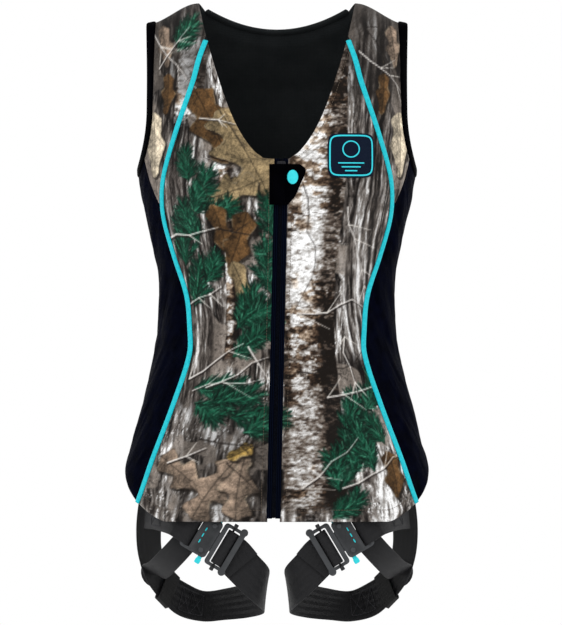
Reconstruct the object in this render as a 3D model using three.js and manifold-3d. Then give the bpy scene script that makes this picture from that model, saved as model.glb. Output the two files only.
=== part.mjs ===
// Safety harness vest: a zipped sleeveless vest with a webbing fall-arrest harness sewn inside it and two
// leg loops that close with quick-connect buckles.
// Millimetres, +Z up. The wearer faces -Y. The origin is the middle of the wearer's shoulder line.
import * as THREE from "three";
import Module from "manifold-3d";
import { mergeVertices } from "three/addons/utils/BufferGeometryUtils.js";

const wasm = await Module();
wasm.setup();

// ---------------------------------------------------------------- driving dimensions
const HEM_DEPTH = 600; // front hem below the origin
const FRONT_DEPTH = 108; // centre front ahead of the shoulder line
const SHOULDER_ROUND = 165; // height over which the chest rounds back to the shoulder
const PLAN_POWER = 2.3; // superellipse power of the plan section
const NECK_X = 93.6; // neck end of the shoulder seam
const RIDGE_TOP = 20.4; // its height
const SHOULDER_X = 156; // arm end of the shoulder seam
const SHOULDER_DROP = 25; // how far the seam falls to it
const HEM_RISE = 72; // the hem is this much higher at the sides
const SEAM_GAP = 0.4; // half the gap between the front and back shells at the shoulder seam

const SHELL = [-1.2, 0]; // layers, as offsets from the outer surface
const STRAP_LAYER = [-4.8, -3.0];
const LINING = [-7.6, -6.6];
const CHEST_LAYER = [-13.2, -11.4];
const PIPING_LAYER = [-1.2, 1.4];
const BINDING_LAYER = [-4.4, 1.2];
const PATCH_LAYER = [0.6, 1.8];

const WEBBING = 44.5;
const WEB_THICK = 1.8;
const PIPING_WIDTH = 5;
const PIPING_CLEAR = 3.9; // from the piping's centre line to a panel's edge
const BINDING_WIDTH = 10;
const BINDING_CLEAR = 6;
const UNDERARM = -183; // lowest point of the armhole
const ARMHOLE_TURN = -110; // where the straight armhole edge starts to curve under the arm
const YOKE_POINT = -224; // where the upper side piece ends in a point on the piping

const ZIP_TOP = -168;
const ZIP_BOTTOM = -596;
const ZIP_LEAN = 9.4; // sideways drift of the zip over its length
const ZIP_TOP_X = 5.4;

const DEG = Math.PI / 180;
const RIGHT = "right"; // wearer's right, at -X
const LEFT = "left";
const SIDES = [
  [RIGHT, -1],
  [LEFT, 1],
];

// ---------------------------------------------------------------- materials
const material = (color, roughness, metalness = 0) =>
  new THREE.MeshStandardMaterial({ color, roughness, metalness, side: THREE.DoubleSide });
const CAMO = material(0x6f665c, 0.95);
const STRETCH = material(0x05070f, 0.7);
const TEAL = material(0x1fc7d6, 0.6);
const MESH = material(0x191d1f, 0.95);
const WEB = material(0x202124, 0.85);
const ZIP = material(0x0a0a0c, 0.8);
const HARDWARE = material(0x414244, 0.35, 0.9);
const EMBROIDERY = material(0x0d2036, 0.9);

// ---------------------------------------------------------------- small maths
const clamp = (v, low, high) => Math.min(Math.max(v, low), high);
const lerp = (a, b, t) => a + (b - a) * t;
const smooth = (t) => {
  const k = clamp(t, 0, 1);
  return k * k * (3 - 2 * k);
};
const span = (count) => Array.from({ length: count + 1 }, (_, i) => i / count);
const vec = (x, y, z) => new THREE.Vector3(x, y, z);

// A smooth curve through stations [at, value], at falling or rising; flat beyond its ends.
function through(stations) {
  const pts = [...stations].sort((a, b) => a[0] - b[0]);
  const last = pts.length - 1;
  const slope = pts.map((_, i) => {
    const a = pts[Math.max(i - 1, 0)];
    const b = pts[Math.min(i + 1, last)];
    return (b[1] - a[1]) / (b[0] - a[0]);
  });
  return (at) => {
    const k = clamp(at, pts[0][0], pts[last][0]);
    let i = 0;
    while (i < last - 1 && k > pts[i + 1][0]) i += 1;
    const h = pts[i + 1][0] - pts[i][0];
    const t = (k - pts[i][0]) / h;
    const t2 = t * t;
    const t3 = t2 * t;
    return (
      (2 * t3 - 3 * t2 + 1) * pts[i][1] +
      (t3 - 2 * t2 + t) * h * slope[i] +
      (3 * t2 - 2 * t3) * pts[i + 1][1] +
      (t3 - t2) * h * slope[i + 1]
    );
  };
}

// ---------------------------------------------------------------- the vest's outer surface
const halfWidth = through([
  [40, 166], [-60, 166], [-190, 165.7], [-247, 155.4], [-300, 144], [-342, 141],
  [-395, 146], [-458, 161], [-504, 173], [-545, 184], [-612, 190],
]);
const backDepth = through([
  [40, 92], [-60, 103], [-84, 106.4], [-120, 100.2], [-176, 98.6], [-250, 89], [-340, 78], [-450, 98], [-530, 112],
  [-612, 110],
]);

const ridge = (x) => RIDGE_TOP - SHOULDER_DROP * smooth((x - NECK_X) / (SHOULDER_X - NECK_X));

// Two soft swellings at the bust, none at the centre line, so that the zip runs straight.
function frontDepth(phi, z) {
  const across = Math.exp(-(((Math.abs(phi) / DEG - 36) / 20) ** 2));
  const up = Math.exp(-(((z + 205) / 75) ** 2));
  const off = 1 - Math.exp(-((phi / DEG / 12) ** 2));
  return FRONT_DEPTH + 14 * across * up * off;
}

// phi is 0 at the centre front, +90 degrees at the wearer's left side, 180 at the centre back.
function at(phi, z) {
  const s = Math.sin(phi);
  const x = halfWidth(z) * s;
  const drop = clamp((ridge(Math.abs(x)) - z) / SHOULDER_ROUND, 0, 1);
  const round = Math.sqrt(drop * (2 - drop));
  const bow = Math.max(1 - Math.abs(s) ** PLAN_POWER, 0) ** (1 / PLAN_POWER);
  const isFront = Math.cos(phi) >= 0;
  const depth = isFront ? frontDepth(phi, z) : backDepth(z);
  return vec(x, (isFront ? -1 : 1) * (SEAM_GAP * (1 - round) + depth * bow * round), z);
}

function tangents(phi, z) {
  const e = 0.012;
  const low = Math.min(z, ridge(Math.abs(halfWidth(z) * Math.sin(phi))) - 3);
  const across = at(phi + e, low).sub(at(phi - e, low)).divideScalar(2 * e);
  const up = at(phi, low + 1).sub(at(phi, low - 1)).divideScalar(2);
  return [across, up];
}

// Straight up on the shoulder line, and square to the surface from 6 mm below it.
function normal(phi, z) {
  const [across, up] = tangents(phi, z);
  const below = ridge(Math.abs(halfWidth(z) * Math.sin(phi))) - z;
  return vec(0, 0, 1).lerp(across.cross(up).normalize(), smooth(below / 6)).normalize();
}

// The place reached from (phi, z) by walking a short vector along the surface.
function walk({ phi, z }, step) {
  const [a, b] = tangents(phi, z);
  const aa = a.dot(a);
  const ab = a.dot(b);
  const bb = b.dot(b);
  const det = aa * bb - ab * ab;
  const sa = a.dot(step);
  const sb = b.dot(step);
  return { phi: phi + (sa * bb - sb * ab) / det, z: z + (sb * aa - sa * ab) / det };
}

const angleAt = (x, z) => Math.asin(clamp(x / halfWidth(z), -1, 1));

// ---------------------------------------------------------------- outlines
// All are for the wearer's left side (+X); the right side is their mirror image.
const pipingX = through([
  [-24, 84], [-49, 93], [-74, 99.5], [-135, 120], [-184, 134], [-211, 137], [-240, 134.6],
  [-284, 122.4], [-330, 107.6], [-370, 103.6], [-401, 104], [-458, 122.4], [-528, 149], [-560, 160],
  [-590, 171],
]);
const necklineX = through([
  [24, NECK_X], [20, NECK_X], [-22, 84.4], [-65, 72], [-110, 56.4], [-140, 41.5], [-160, 26], [-170, 12.5],
  [-176, 11],
]);
const zipX = (z) => ZIP_TOP_X - ((ZIP_TOP - z) * ZIP_LEAN) / (ZIP_TOP - ZIP_BOTTOM);
const hemRise = (phi) => {
  const fromSide = Math.acos(Math.min(Math.abs(Math.sin(phi)), 1)) / DEG;
  return HEM_RISE * clamp((45 - fromSide) / 45, 0, 1) ** 1.25;
};

// Height on row r (depth below the shoulder line): rows follow the shoulder at the top and the hem below.
function rowZ(phi, r, top = ridge) {
  const x = Math.abs(halfWidth(-r) * Math.sin(phi));
  return -r + top(x) * (1 - smooth(r / 110)) + hemRise(phi) * smooth((r - 430) / 170);
}

// Half of the armhole, from the shoulder (t 0) to under the arm (t 1), as places on the front surface.
const EDGE_X = 151.5; // arm end of the binding's centre line, where the half width is 166
const EDGE_PHI = Math.asin(EDGE_X / 166);
function armhole(t) {
  const straight = 0.45;
  if (t < straight) return { phi: EDGE_PHI, z: lerp(ridge(EDGE_X), ARMHOLE_TURN, (t / straight) ** 2) };
  const turn = ((t - straight) / (1 - straight)) * 90 * DEG;
  return {
    phi: EDGE_PHI + (90 * DEG - EDGE_PHI) * (1 - Math.cos(turn)),
    z: lerp(ARMHOLE_TURN, UNDERARM, Math.sin(turn)),
  };
}

// The panels' edge along the armhole binding, as [height, angle], from the shoulder down to under the arm.
const armholeEdge = span(24).map((t) => {
  const here = armhole(t);
  const a = armhole(Math.max(t - 0.01, 0));
  const b = armhole(Math.min(t + 0.01, 1));
  const along = at(b.phi, b.z).sub(at(a.phi, a.z)).normalize();
  const inward = along.cross(normal(here.phi, here.z)).normalize();
  const place = walk(here, inward.multiplyScalar(BINDING_CLEAR));
  return t > 0.97 ? { phi: 90 * DEG, z: UNDERARM - BINDING_CLEAR } : place;
});
function armholePhi(z) {
  const i = armholeEdge.findIndex((p) => p.z <= z);
  if (i <= 0) return armholeEdge[i < 0 ? armholeEdge.length - 1 : 0].phi;
  const a = armholeEdge[i - 1];
  const b = armholeEdge[i];
  return lerp(a.phi, b.phi, (z - a.z) / (b.z - a.z));
}
const YOKE_CORNER = -168; // the yoke leaves the armhole here and slants down to the piping
const yokePhi = (z) => {
  if (z > YOKE_CORNER) return armholePhi(z);
  const low = angleAt(pipingX(YOKE_POINT) + PIPING_CLEAR, YOKE_POINT);
  return lerp(armholePhi(YOKE_CORNER), low, (YOKE_CORNER - z) / (YOKE_CORNER - YOKE_POINT));
};
const pipingPhi = (z, clear) => angleAt(pipingX(z) + clear, z);
const seamPhi = (z) => (z > YOKE_POINT ? yokePhi(z) : pipingPhi(z, -PIPING_CLEAR));

// ---------------------------------------------------------------- solids
// A closed solid between two lattices of points of the same shape; closed joins the last row to the first.
function between(outer, inner, closed = false) {
  const rows = outer.length;
  const cols = outer[0].length;
  const points = [...outer.flat(), ...inner.flat()];
  const o = (i, j) => (i % rows) * cols + j;
  const n = (i, j) => o(i, j) + rows * cols;
  const faces = [];
  const quad = (a, b, c, d) => faces.push(a, b, c, a, c, d);
  const steps = closed ? rows : rows - 1;
  for (let i = 0; i < steps; i += 1) {
    for (let j = 0; j < cols - 1; j += 1) {
      quad(o(i, j), o(i, j + 1), o(i + 1, j + 1), o(i + 1, j));
      quad(n(i, j), n(i + 1, j), n(i + 1, j + 1), n(i, j + 1));
    }
    quad(o(i, 0), o(i + 1, 0), n(i + 1, 0), n(i, 0));
    quad(o(i, cols - 1), n(i, cols - 1), n(i + 1, cols - 1), o(i + 1, cols - 1));
  }
  if (!closed)
    for (let j = 0; j < cols - 1; j += 1) {
      quad(o(0, j), n(0, j), n(0, j + 1), o(0, j + 1));
      quad(o(rows - 1, j), o(rows - 1, j + 1), n(rows - 1, j + 1), n(rows - 1, j));
    }
  return facingOut(points, faces);
}

function facingOut(points, faces) {
  let volume = 0;
  for (let i = 0; i < faces.length; i += 3) {
    const [a, b, c] = [points[faces[i]], points[faces[i + 1]], points[faces[i + 2]]];
    volume += a.dot(b.clone().cross(c));
  }
  if (volume < 0) faces.reverse();
  const geometry = new THREE.BufferGeometry().setFromPoints(points);
  geometry.setIndex(faces);
  return geometry;
}

// A panel of cloth: rows of places (phi, z), lifted to the layer's two faces.
function panel(rows, [low, high]) {
  const lift = (offset) =>
    rows.map((row) => row.map(({ phi, z }) => at(phi, z).addScaledVector(normal(phi, z), offset)));
  return between(lift(high), lift(low));
}

// A panel between two edges, each an angle for a row's depth.
function edgedPanel(depths, from, to, cols, layer, top) {
  const rows = depths.map((r) =>
    span(cols).map((u) => {
      const phi = lerp(from(r), to(r), u);
      return { phi, z: rowZ(phi, r, top) };
    }),
  );
  return panel(rows, layer);
}

// A strip of cloth or webbing that lies on the vest along a path of places.
function strip(path, width, cols, [low, high], closed = false) {
  const count = path.length;
  const wrap = (i) => (closed ? (i + count) % count : clamp(i, 0, count - 1));
  const rows = path.map((here, i) => {
    const a = path[wrap(i - 1)];
    const b = path[wrap(i + 1)];
    const along = at(b.phi, b.z).sub(at(a.phi, a.z)).normalize();
    const across = along.cross(normal(here.phi, here.z)).normalize();
    return span(cols).map((u) => walk(here, across.clone().multiplyScalar((u - 0.5) * width)));
  });
  const lift = (offset) =>
    rows.map((row) => row.map(({ phi, z }) => at(phi, z).addScaledVector(normal(phi, z), offset)));
  return between(lift(high), lift(low), closed);
}

// Free webbing: stations [x, y, z, width direction x, y, z], smoothed, with a flat section.
function routed(stations) {
  const curve = (points) => new THREE.CatmullRomCurve3(points, false, "centripetal");
  return {
    centre: curve(stations.map(([x, y, z]) => vec(x, y, z))),
    lean: curve(stations.map(([, , , x, y, z]) => vec(x, y, z))),
  };
}

function webbing(stations, width, thick, steps) {
  const { centre, lean } = routed(stations);
  const outer = [];
  const inner = [];
  for (const t of span(steps)) {
    const { side, face, point } = frameOn(centre, lean, centre.getUtoTmapping(t)); // even steps of length
    const edge = (v, n) => point.clone().addScaledVector(side, v * width).addScaledVector(face, n * thick);
    outer.push([edge(-0.5, 0.5), edge(0.5, 0.5)]);
    inner.push([edge(-0.5, -0.5), edge(0.5, -0.5)]);
  }
  return between(outer, inner);
}

function frameOn(centre, lean, t) {
  const point = centre.getPoint(t);
  const along = centre.getTangent(t);
  const side = lean.getPoint(t).normalize();
  side.addScaledVector(along, -side.dot(along)).normalize();
  const face = along.clone().cross(side).normalize();
  return { point, along, side, face };
}

function toSolid(geometry) {
  const bare = geometry.clone();
  bare.deleteAttribute("normal");
  bare.deleteAttribute("uv");
  const merged = mergeVertices(bare.index ? bare.toNonIndexed() : bare, 1e-4);
  const mesh = new wasm.Mesh({
    numProp: 3,
    vertProperties: merged.attributes.position.array,
    triVerts: new Uint32Array(merged.index.array),
  });
  return new wasm.Manifold(mesh);
}

function fromSolid(solid) {
  const mesh = solid.getMesh();
  const geometry = new THREE.BufferGeometry();
  geometry.setAttribute("position", new THREE.BufferAttribute(mesh.vertProperties, 3));
  geometry.setIndex(new THREE.BufferAttribute(mesh.triVerts, 1));
  return geometry;
}

const joined = (...geometries) => fromSolid(geometries.map(toSolid).reduce((a, b) => a.add(b)));
const cut = (base, ...tools) => fromSolid(tools.map(toSolid).reduce((a, b) => a.subtract(b), toSolid(base)));

const box = (x0, x1, y0, y1, z0, z1) =>
  new THREE.BoxGeometry(x1 - x0, y1 - y0, z1 - z0).translate((x0 + x1) / 2, (y0 + y1) / 2, (z0 + z1) / 2);

// A plate with rounded corners in the local XY plane, from z0 to z1.
function plate(x0, x1, y0, y1, z0, z1, radius) {
  const shape = new THREE.Shape();
  shape.moveTo(x0 + radius, y0);
  shape.lineTo(x1 - radius, y0);
  shape.absarc(x1 - radius, y0 + radius, radius, -90 * DEG, 0);
  shape.lineTo(x1, y1 - radius);
  shape.absarc(x1 - radius, y1 - radius, radius, 0, 90 * DEG);
  shape.lineTo(x0 + radius, y1);
  shape.absarc(x0 + radius, y1 - radius, radius, 90 * DEG, 180 * DEG);
  shape.lineTo(x0, y0 + radius);
  shape.absarc(x0 + radius, y0 + radius, radius, 180 * DEG, 270 * DEG);
  const solid = new THREE.ExtrudeGeometry(shape, { depth: z1 - z0, bevelEnabled: false, curveSegments: 2 });
  return solid.translate(0, 0, z0);
}

const vest = new THREE.Group();
const add = (name, geometry, look, parent = vest) => {
  const mesh = new THREE.Mesh(geometry, look);
  mesh.name = name;
  parent.add(mesh);
  return mesh;
};

// ---------------------------------------------------------------- vest panels
const SHOULDER_ROWS = [0, 1.5, 5, 11, 20, 32];
const down = (from, to, count) => span(count).map((u) => lerp(from, to, u));

// An edge that is an angle for a height, as an angle for a row's depth.
const onRow = (edge) => (r) => {
  let z = -r;
  for (let i = 0; i < 8; i += 1) z = rowZ(edge(z), r);
  return edge(z);
};
const mirrored = (edge, sign) => (r) => sign * edge(r);
const behind = (edge, sign) => (r) => sign * (180 * DEG - edge(r));

const zipEdge = (z, sign, clear) => angleAt(sign * zipX(Math.min(z, ZIP_TOP)) + clear, z);
const frontInner = (sign, clear) => (z) =>
  z > ZIP_TOP ? angleAt(necklineX(z) + clear * 0.3, z) : zipEdge(z, sign, 7.6 + clear);
const yokeInner = (z) => {
  const seam = z > -22 ? 0 : pipingX(z) + PIPING_CLEAR;
  return angleAt(Math.max(z > -40 ? necklineX(z) : 0, seam), z);
};

function frontShell(sign) {
  const rows = [47, 58, 72, 92, 115, 140, 160, 167.9, 168.1, ...down(195, HEM_DEPTH, 14)];
  const inner = mirrored(onRow(frontInner(sign, 0)), sign);
  const outer = mirrored(onRow((z) => pipingPhi(z, -PIPING_CLEAR)), sign);
  return edgedPanel(rows, inner, outer, 8, SHELL);
}

function yoke(sign) {
  const rows = [...SHOULDER_ROWS, 42, 60, 85, 110, 135, 155, 168, 185, 202, 217];
  return edgedPanel(rows, mirrored(onRow(yokeInner), sign), mirrored(onRow(yokePhi), sign), 4, SHELL);
}

// Round the side from the front piping to the back piping; its top edge runs under the arm.
function sidePanel(sign) {
  const low = pipingPhi(YOKE_POINT - 1, PIPING_CLEAR);
  const slant = [0, 0.5, 1].map((u) => ({
    phi: lerp(low, armholePhi(YOKE_CORNER - 1), u),
    z: lerp(YOKE_POINT, YOKE_CORNER, u) - 1.2,
  }));
  const edge = armholeEdge.filter((p, i) => p.z < YOKE_CORNER - 4 && i % 2 === 0);
  const half = [...slant, ...edge];
  const rest = half.slice(0, -1).reverse();
  const top = [...half, ...rest.map(({ phi, z }) => ({ phi: 180 * DEG - phi, z }))];
  const hemAt = onRow((z) => pipingPhi(z, PIPING_CLEAR))(HEM_DEPTH);
  const hemZ = rowZ(hemAt, HEM_DEPTH);
  const rows = span(14).map((v) => {
    const first = pipingPhi(lerp(YOKE_POINT - 1, hemZ, v), PIPING_CLEAR);
    return top.map((place) => {
      const share = (place.phi - low) / (180 * DEG - 2 * low);
      const phi = lerp(first, 180 * DEG - first, share);
      const hem = rowZ(lerp(hemAt, 180 * DEG - hemAt, share), HEM_DEPTH);
      return { phi: sign * phi, z: lerp(place.z, hem, v) };
    });
  });
  return panel(rows, SHELL);
}

const BACK_NECK_DIP = 30;
const BACK_BAND = 6.8;
const backNeck = (x) => ridge(x) - (x < NECK_X ? BACK_NECK_DIP * (1 - (x / NECK_X) ** 2) : 0);
const backTop = (x) => backNeck(x) - BACK_BAND * smooth((NECK_X - x) / 10);

function backPanel(edge, rows, cols, layer) {
  const left = behind(onRow(edge), 1);
  return edgedPanel(rows, left, (r) => 360 * DEG - left(r), cols, layer, backTop);
}

// The back curves less than the front, so its edge keeps a little further from the binding.
const BACK_EASE = 1.3 * DEG;
const backSeamPhi = (z) => seamPhi(z) - BACK_EASE * smooth((z - YOKE_POINT) / 40);

function backShell() {
  const rows = [...SHOULDER_ROWS, 50, 75, 105, 135, 160, 168, 196, 221, 232, ...down(262, HEM_DEPTH, 10)];
  return backPanel(backSeamPhi, rows, 12, SHELL);
}

const LINING_HEM = 588;
const liningRows = [
  ...SHOULDER_ROWS, 50, 80, 110, 140, 160, 167.9, 168.1, 177, 184, 190, ...down(225, LINING_HEM, 9),
];
const liningSide = (z) => (z > UNDERARM - BINDING_CLEAR + 1 ? armholePhi(z) : 88.5 * DEG);
function frontLining(sign) {
  const inner = mirrored(onRow(frontInner(sign, 3)), sign);
  return edgedPanel(liningRows, inner, mirrored(onRow(liningSide), sign), 6, LINING);
}
const backLining = () => backPanel(liningSide, liningRows, 12, LINING);

function piping(sign, isBack) {
  const start = isBack ? 231 : 41;
  const place = onRow((z) => pipingPhi(z, 0));
  const path = down(start, HEM_DEPTH, isBack ? 18 : 26).map((r) => {
    const phi = place(r);
    return { phi: sign * (isBack ? 180 * DEG - phi : phi), z: rowZ(phi, r) };
  });
  return strip(path, PIPING_WIDTH, 1, PIPING_LAYER);
}

function armholeBinding(sign) {
  const front = span(20).map(armhole);
  const back = span(20).slice(0, -1).reverse().map(armhole);
  const path = [
    ...front.map(({ phi, z }) => ({ phi: sign * phi, z })),
    ...back.map(({ phi, z }) => ({ phi: sign * (180 * DEG - phi), z })),
  ];
  return strip(path, BINDING_WIDTH, 1, BINDING_LAYER, true);
}

function neckBinding() {
  const path = down(75, -75, 10).map((x) => ({
    phi: 180 * DEG - angleAt(x, 0),
    z: backNeck(Math.abs(x)) - 3,
  }));
  return strip(path, BACK_BAND - 1.2, 1, BINDING_LAYER);
}

for (const [side, sign] of SIDES) {
  add(`front_shell_${side}`, frontShell(sign), CAMO);
  add(`shoulder_yoke_${side}`, yoke(sign), CAMO);
  add(`side_panel_${side}`, sidePanel(sign), STRETCH);
  add(`front_piping_${side}`, piping(sign, false), TEAL);
  add(`back_piping_${side}`, piping(sign, true), TEAL);
  add(`armhole_binding_${side}`, armholeBinding(sign), STRETCH);
  add(`front_lining_${side}`, frontLining(sign), MESH);
}
add("back_shell", backShell(), CAMO);
add("back_lining", backLining(), MESH);
add("neck_binding", neckBinding(), STRETCH);

// ---------------------------------------------------------------- zip
function zipStrip(sign, from, to, layer) {
  const onRowOf = (z) => (x) => ({ phi: angleAt(zipX(z) + sign * x, z), z });
  return panel(down(ZIP_TOP, ZIP_BOTTOM, 8).map((z) => [from, to].map(onRowOf(z))), layer);
}
const onFront = (offset) => -FRONT_DEPTH - offset; // y of a plane ahead of the centre front

const SLIDER_TOP = ZIP_TOP - 3;
const SLIDER_LENGTH = 13;
const PULL_AXIS = { y: onFront(4.3), z: SLIDER_TOP - 2.8 };

function zipSlider() {
  const z0 = SLIDER_TOP - SLIDER_LENGTH;
  const front = plate(-5.2, 5.2, z0, SLIDER_TOP, 0, 1.8, 2).rotateX(90 * DEG).translate(0, onFront(1.5), 0);
  const back = plate(-4.6, 4.6, z0, SLIDER_TOP, 0, 1.6, 2).rotateX(90 * DEG).translate(0, onFront(-3.9), 0);
  const post = box(-0.5, 0.5, onFront(1.9), onFront(-2.4), z0 + 1, SLIDER_TOP - 2);
  const upperLeg = box(-1.1, 1.1, onFront(6.6), onFront(2), SLIDER_TOP - 1.6, SLIDER_TOP - 0.3);
  const lowerLeg = box(-1.1, 1.1, onFront(6.6), onFront(2), SLIDER_TOP - 10.3, SLIDER_TOP - 9);
  const bar = box(-1.1, 1.1, onFront(6.6), onFront(5.5), SLIDER_TOP - 10.3, SLIDER_TOP - 0.3);
  return joined(front, back, post, upperLeg, lowerLeg, bar).translate(zipX(SLIDER_TOP - 6), 0, 0);
}

function zipPull() {
  const top = PULL_AXIS.z + 0.6;
  const tab = plate(-3.2, 3.2, top - 30, top, 0, 1.2, 1.2).rotateX(90 * DEG).translate(0, onFront(3.7), 0);
  const eye = box(-2.2, 2.2, onFront(6), onFront(3), top - 9, top - 1.2);
  const hole = box(-1.6, 1.6, onFront(6), onFront(3), top - 28, top - 25.5);
  return cut(tab, eye, hole).translate(zipX(SLIDER_TOP - 6), 0, 0);
}

// The guard flap stands off the slider and comes down to its press stud beside the zip.
const STUD = { x: 18.6, z: -190 };
const flapOffset = through([
  [-9.5, 1.2], [-6.5, 3], [-4, 7.6], [3, 8.6], [8, 8.2], [11.5, 2.7], [14, 2.4], [34, 2.3],
]);
function guardFlap() {
  const right = through([[-223, 13], [-212, 22], [-199, 27.6], [-187, 33], [-180, 33.6], [-174.6, 27]]);
  const rows = down(-174.6, -223, 6).map((z) => down(-9, right(z), 14).map((x) => vec(x, 0, z)));
  const face = (lift) => rows.map((row) => row.map((p) => vec(p.x, onFront(flapOffset(p.x) + lift), p.z)));
  return between(face(0.7), face(-0.7));
}

// A round stud or cap on the centre front's plane, between two heights off it.
const disc = (radius, low, high, squash = 1) =>
  new THREE.CylinderGeometry(radius, radius, high - low, 20)
    .scale(squash, 1, 1)
    .translate(0, -(low + high) / 2 - FRONT_DEPTH, 0)
    .translate(STUD.x, 0, STUD.z);

add("zip_tape_left", zipStrip(1, 2.9, 7.2, [-1, 0.2]), ZIP);
add("zip_tape_right", zipStrip(-1, 2.9, 7.2, [-1, 0.2]), ZIP);
add("zip_coil_left", zipStrip(1, 0.8, 2.6, [-1.8, 1.2]), ZIP);
add("zip_coil_right", zipStrip(-1, 0.8, 2.6, [-1.8, 1.2]), ZIP);
add("zip_slider", zipSlider(), HARDWARE);
add("zip_pull", zipPull(), HARDWARE);
add("guard_flap", guardFlap(), STRETCH);
add("snap_cap", disc(8.5, 3.6, 5.4, 0.78), TEAL);
add("snap_stud", disc(4, 0.4, 1.1), HARDWARE);

// ---------------------------------------------------------------- badge and back anchor
const BADGE = { low: 60, high: 115, top: -138, bottom: -191 };
const badgeRows = down(BADGE.top, BADGE.bottom, 4).map((z) =>
  down(BADGE.low, BADGE.high, 5).map((x) => ({ phi: angleAt(x, z), z })),
);
add("chest_patch", panel(badgeRows, PATCH_LAYER), EMBROIDERY);

const ANCHOR = { half: 32, top: -84, bottom: -176, y: 101.5, thick: 3.5 };
const anchorPatch = plate(-ANCHOR.half, ANCHOR.half, ANCHOR.bottom, ANCHOR.top, 0, ANCHOR.thick, 4)
  .rotateX(90 * DEG)
  .translate(0, ANCHOR.y + ANCHOR.thick, 0);
add("dorsal_anchor_patch", anchorPatch, WEB);

// The tether loop: webbing doubled back on itself, hinged where it leaves the top of the patch.
const LOOP = { y: ANCHOR.y + ANCHOR.thick + 0.6, top: -76, length: 58, gap: 5, thick: 2 };
function tetherLoop() {
  const outer = new THREE.Shape();
  const half = LOOP.gap / 2 + LOOP.thick;
  outer.moveTo(0, 0);
  outer.lineTo(LOOP.length - half, 0);
  outer.absarc(LOOP.length - half, half, half, -90 * DEG, 90 * DEG);
  outer.lineTo(0, 2 * half);
  outer.closePath();
  const inner = new THREE.Path();
  const r = LOOP.gap / 2;
  inner.moveTo(14, half - r);
  inner.lineTo(LOOP.length - half, half - r);
  inner.absarc(LOOP.length - half, half, r, -90 * DEG, 90 * DEG);
  inner.lineTo(14, half + r);
  inner.closePath();
  outer.holes.push(inner);
  const solid = new THREE.ExtrudeGeometry(outer, { depth: WEBBING, bevelEnabled: false, curveSegments: 8 });
  solid.translate(0, 0, -WEBBING / 2).rotateY(90 * DEG); // length along -Z, width along X, thickness along +Y
  return solid.translate(0, LOOP.y, LOOP.top);
}
add("dorsal_tether_loop", tetherLoop(), WEB);

// ---------------------------------------------------------------- harness inside the vest
const STRAP_SPREAD = 37; // webbing's width seen from the front, on the slope of the chest
const BELT_Z = -352;
const strapFront = through([[0, 126], [25, 124], [100, 101], [200, 84], [326, 78]]);
const strapBack = through([[0, 126], [25, 124], [100, 99], [200, 66], [326, 52]]);
function shoulderStrap(sign) {
  const depths = [...SHOULDER_ROWS, 47, 75, 105, 140, 180, 225, 275, 326];
  const row = (r, centre, isBack) =>
    span(3).map((u) => {
      const phi = angleAt(centre(r) + (u - 0.5) * STRAP_SPREAD, -r);
      return { phi: sign * (isBack ? 180 * DEG - phi : phi), z: rowZ(phi, r) };
    });
  const rows = [...depths].reverse().map((r) => row(r, strapBack, true));
  return panel([...rows, ...depths.map((r) => row(r, strapFront, false))], STRAP_LAYER);
}

const beltPath = down(11 * DEG, 349 * DEG, 44).map((phi) => ({ phi, z: BELT_Z }));
add("waist_belt", strip(beltPath, WEBBING, 1, STRAP_LAYER), WEB);

const CHEST_Z = -226;
const CHEST_WEBBING = 25;
function chestStrap(sign) {
  const inner = sign < 0 ? 27 : 43; // the plug needs room to pull out on the wearer's left
  const angles = down(angleAt(100, CHEST_Z), angleAt(inner, CHEST_Z), 6);
  const path = angles.map((phi) => ({ phi: sign * phi, z: CHEST_Z }));
  return strip(path, CHEST_WEBBING, 1, CHEST_LAYER);
}
for (const [side, sign] of SIDES) {
  add(`shoulder_strap_${side}`, shoulderStrap(sign), WEB);
  add(`chest_strap_${side}`, chestStrap(sign), WEB);
}

// Chest buckle, behind the zip: a socket on the wearer's right, a plug that pulls out to the left.
const CHEST_Y = -FRONT_DEPTH + 14;
function chestSocket() {
  const body = box(-24, 2, CHEST_Y - 5, CHEST_Y + 5, CHEST_Z - 17, CHEST_Z + 17);
  const mouth = box(-16, 3, CHEST_Y - 2.4, CHEST_Y + 2.4, CHEST_Z - 11, CHEST_Z + 11);
  return cut(body, mouth);
}
function chestPlug() {
  const base = box(2.6, 24, CHEST_Y - 4, CHEST_Y + 4, CHEST_Z - 17, CHEST_Z + 17);
  const prong = (z) => box(-14, 4, CHEST_Y - 1.8, CHEST_Y + 1.8, z - 1.6, z + 1.6);
  const prongs = [-9, 0, 9].map((rise) => prong(CHEST_Z + rise));
  return joined(base, ...prongs);
}
add("chest_buckle_socket", chestSocket(), HARDWARE);
add("chest_buckle_plug", chestPlug(), HARDWARE);

// ---------------------------------------------------------------- leg loops
// Laid out for the wearer's right leg (-X) and mirrored for the left.
// The buckle's own frame: +X from the female half to the male half, +Y across, +Z outward.
const EAR = 4.6; // radius of the male half's two outer corners
const BUCKLE = { x: -74.4, y: -79, z: -624, tilt: 30.6 };
const AXIS = vec(Math.cos(BUCKLE.tilt * DEG), 0, -Math.sin(BUCKLE.tilt * DEG));
const ACROSS = vec(Math.sin(BUCKLE.tilt * DEG), 0, Math.cos(BUCKLE.tilt * DEG));
const DIAGONAL_WIDTH = 30;

// A station on the buckle: its own coordinates, with the width direction across it.
function onBuckle(u, v, w) {
  const p = vec(BUCKLE.x, BUCKLE.y - w, BUCKLE.z).addScaledVector(AXIS, u).addScaledVector(ACROSS, v);
  return [p.x, p.y, p.z, ACROSS.x, ACROSS.y, ACROSS.z];
}

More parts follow.
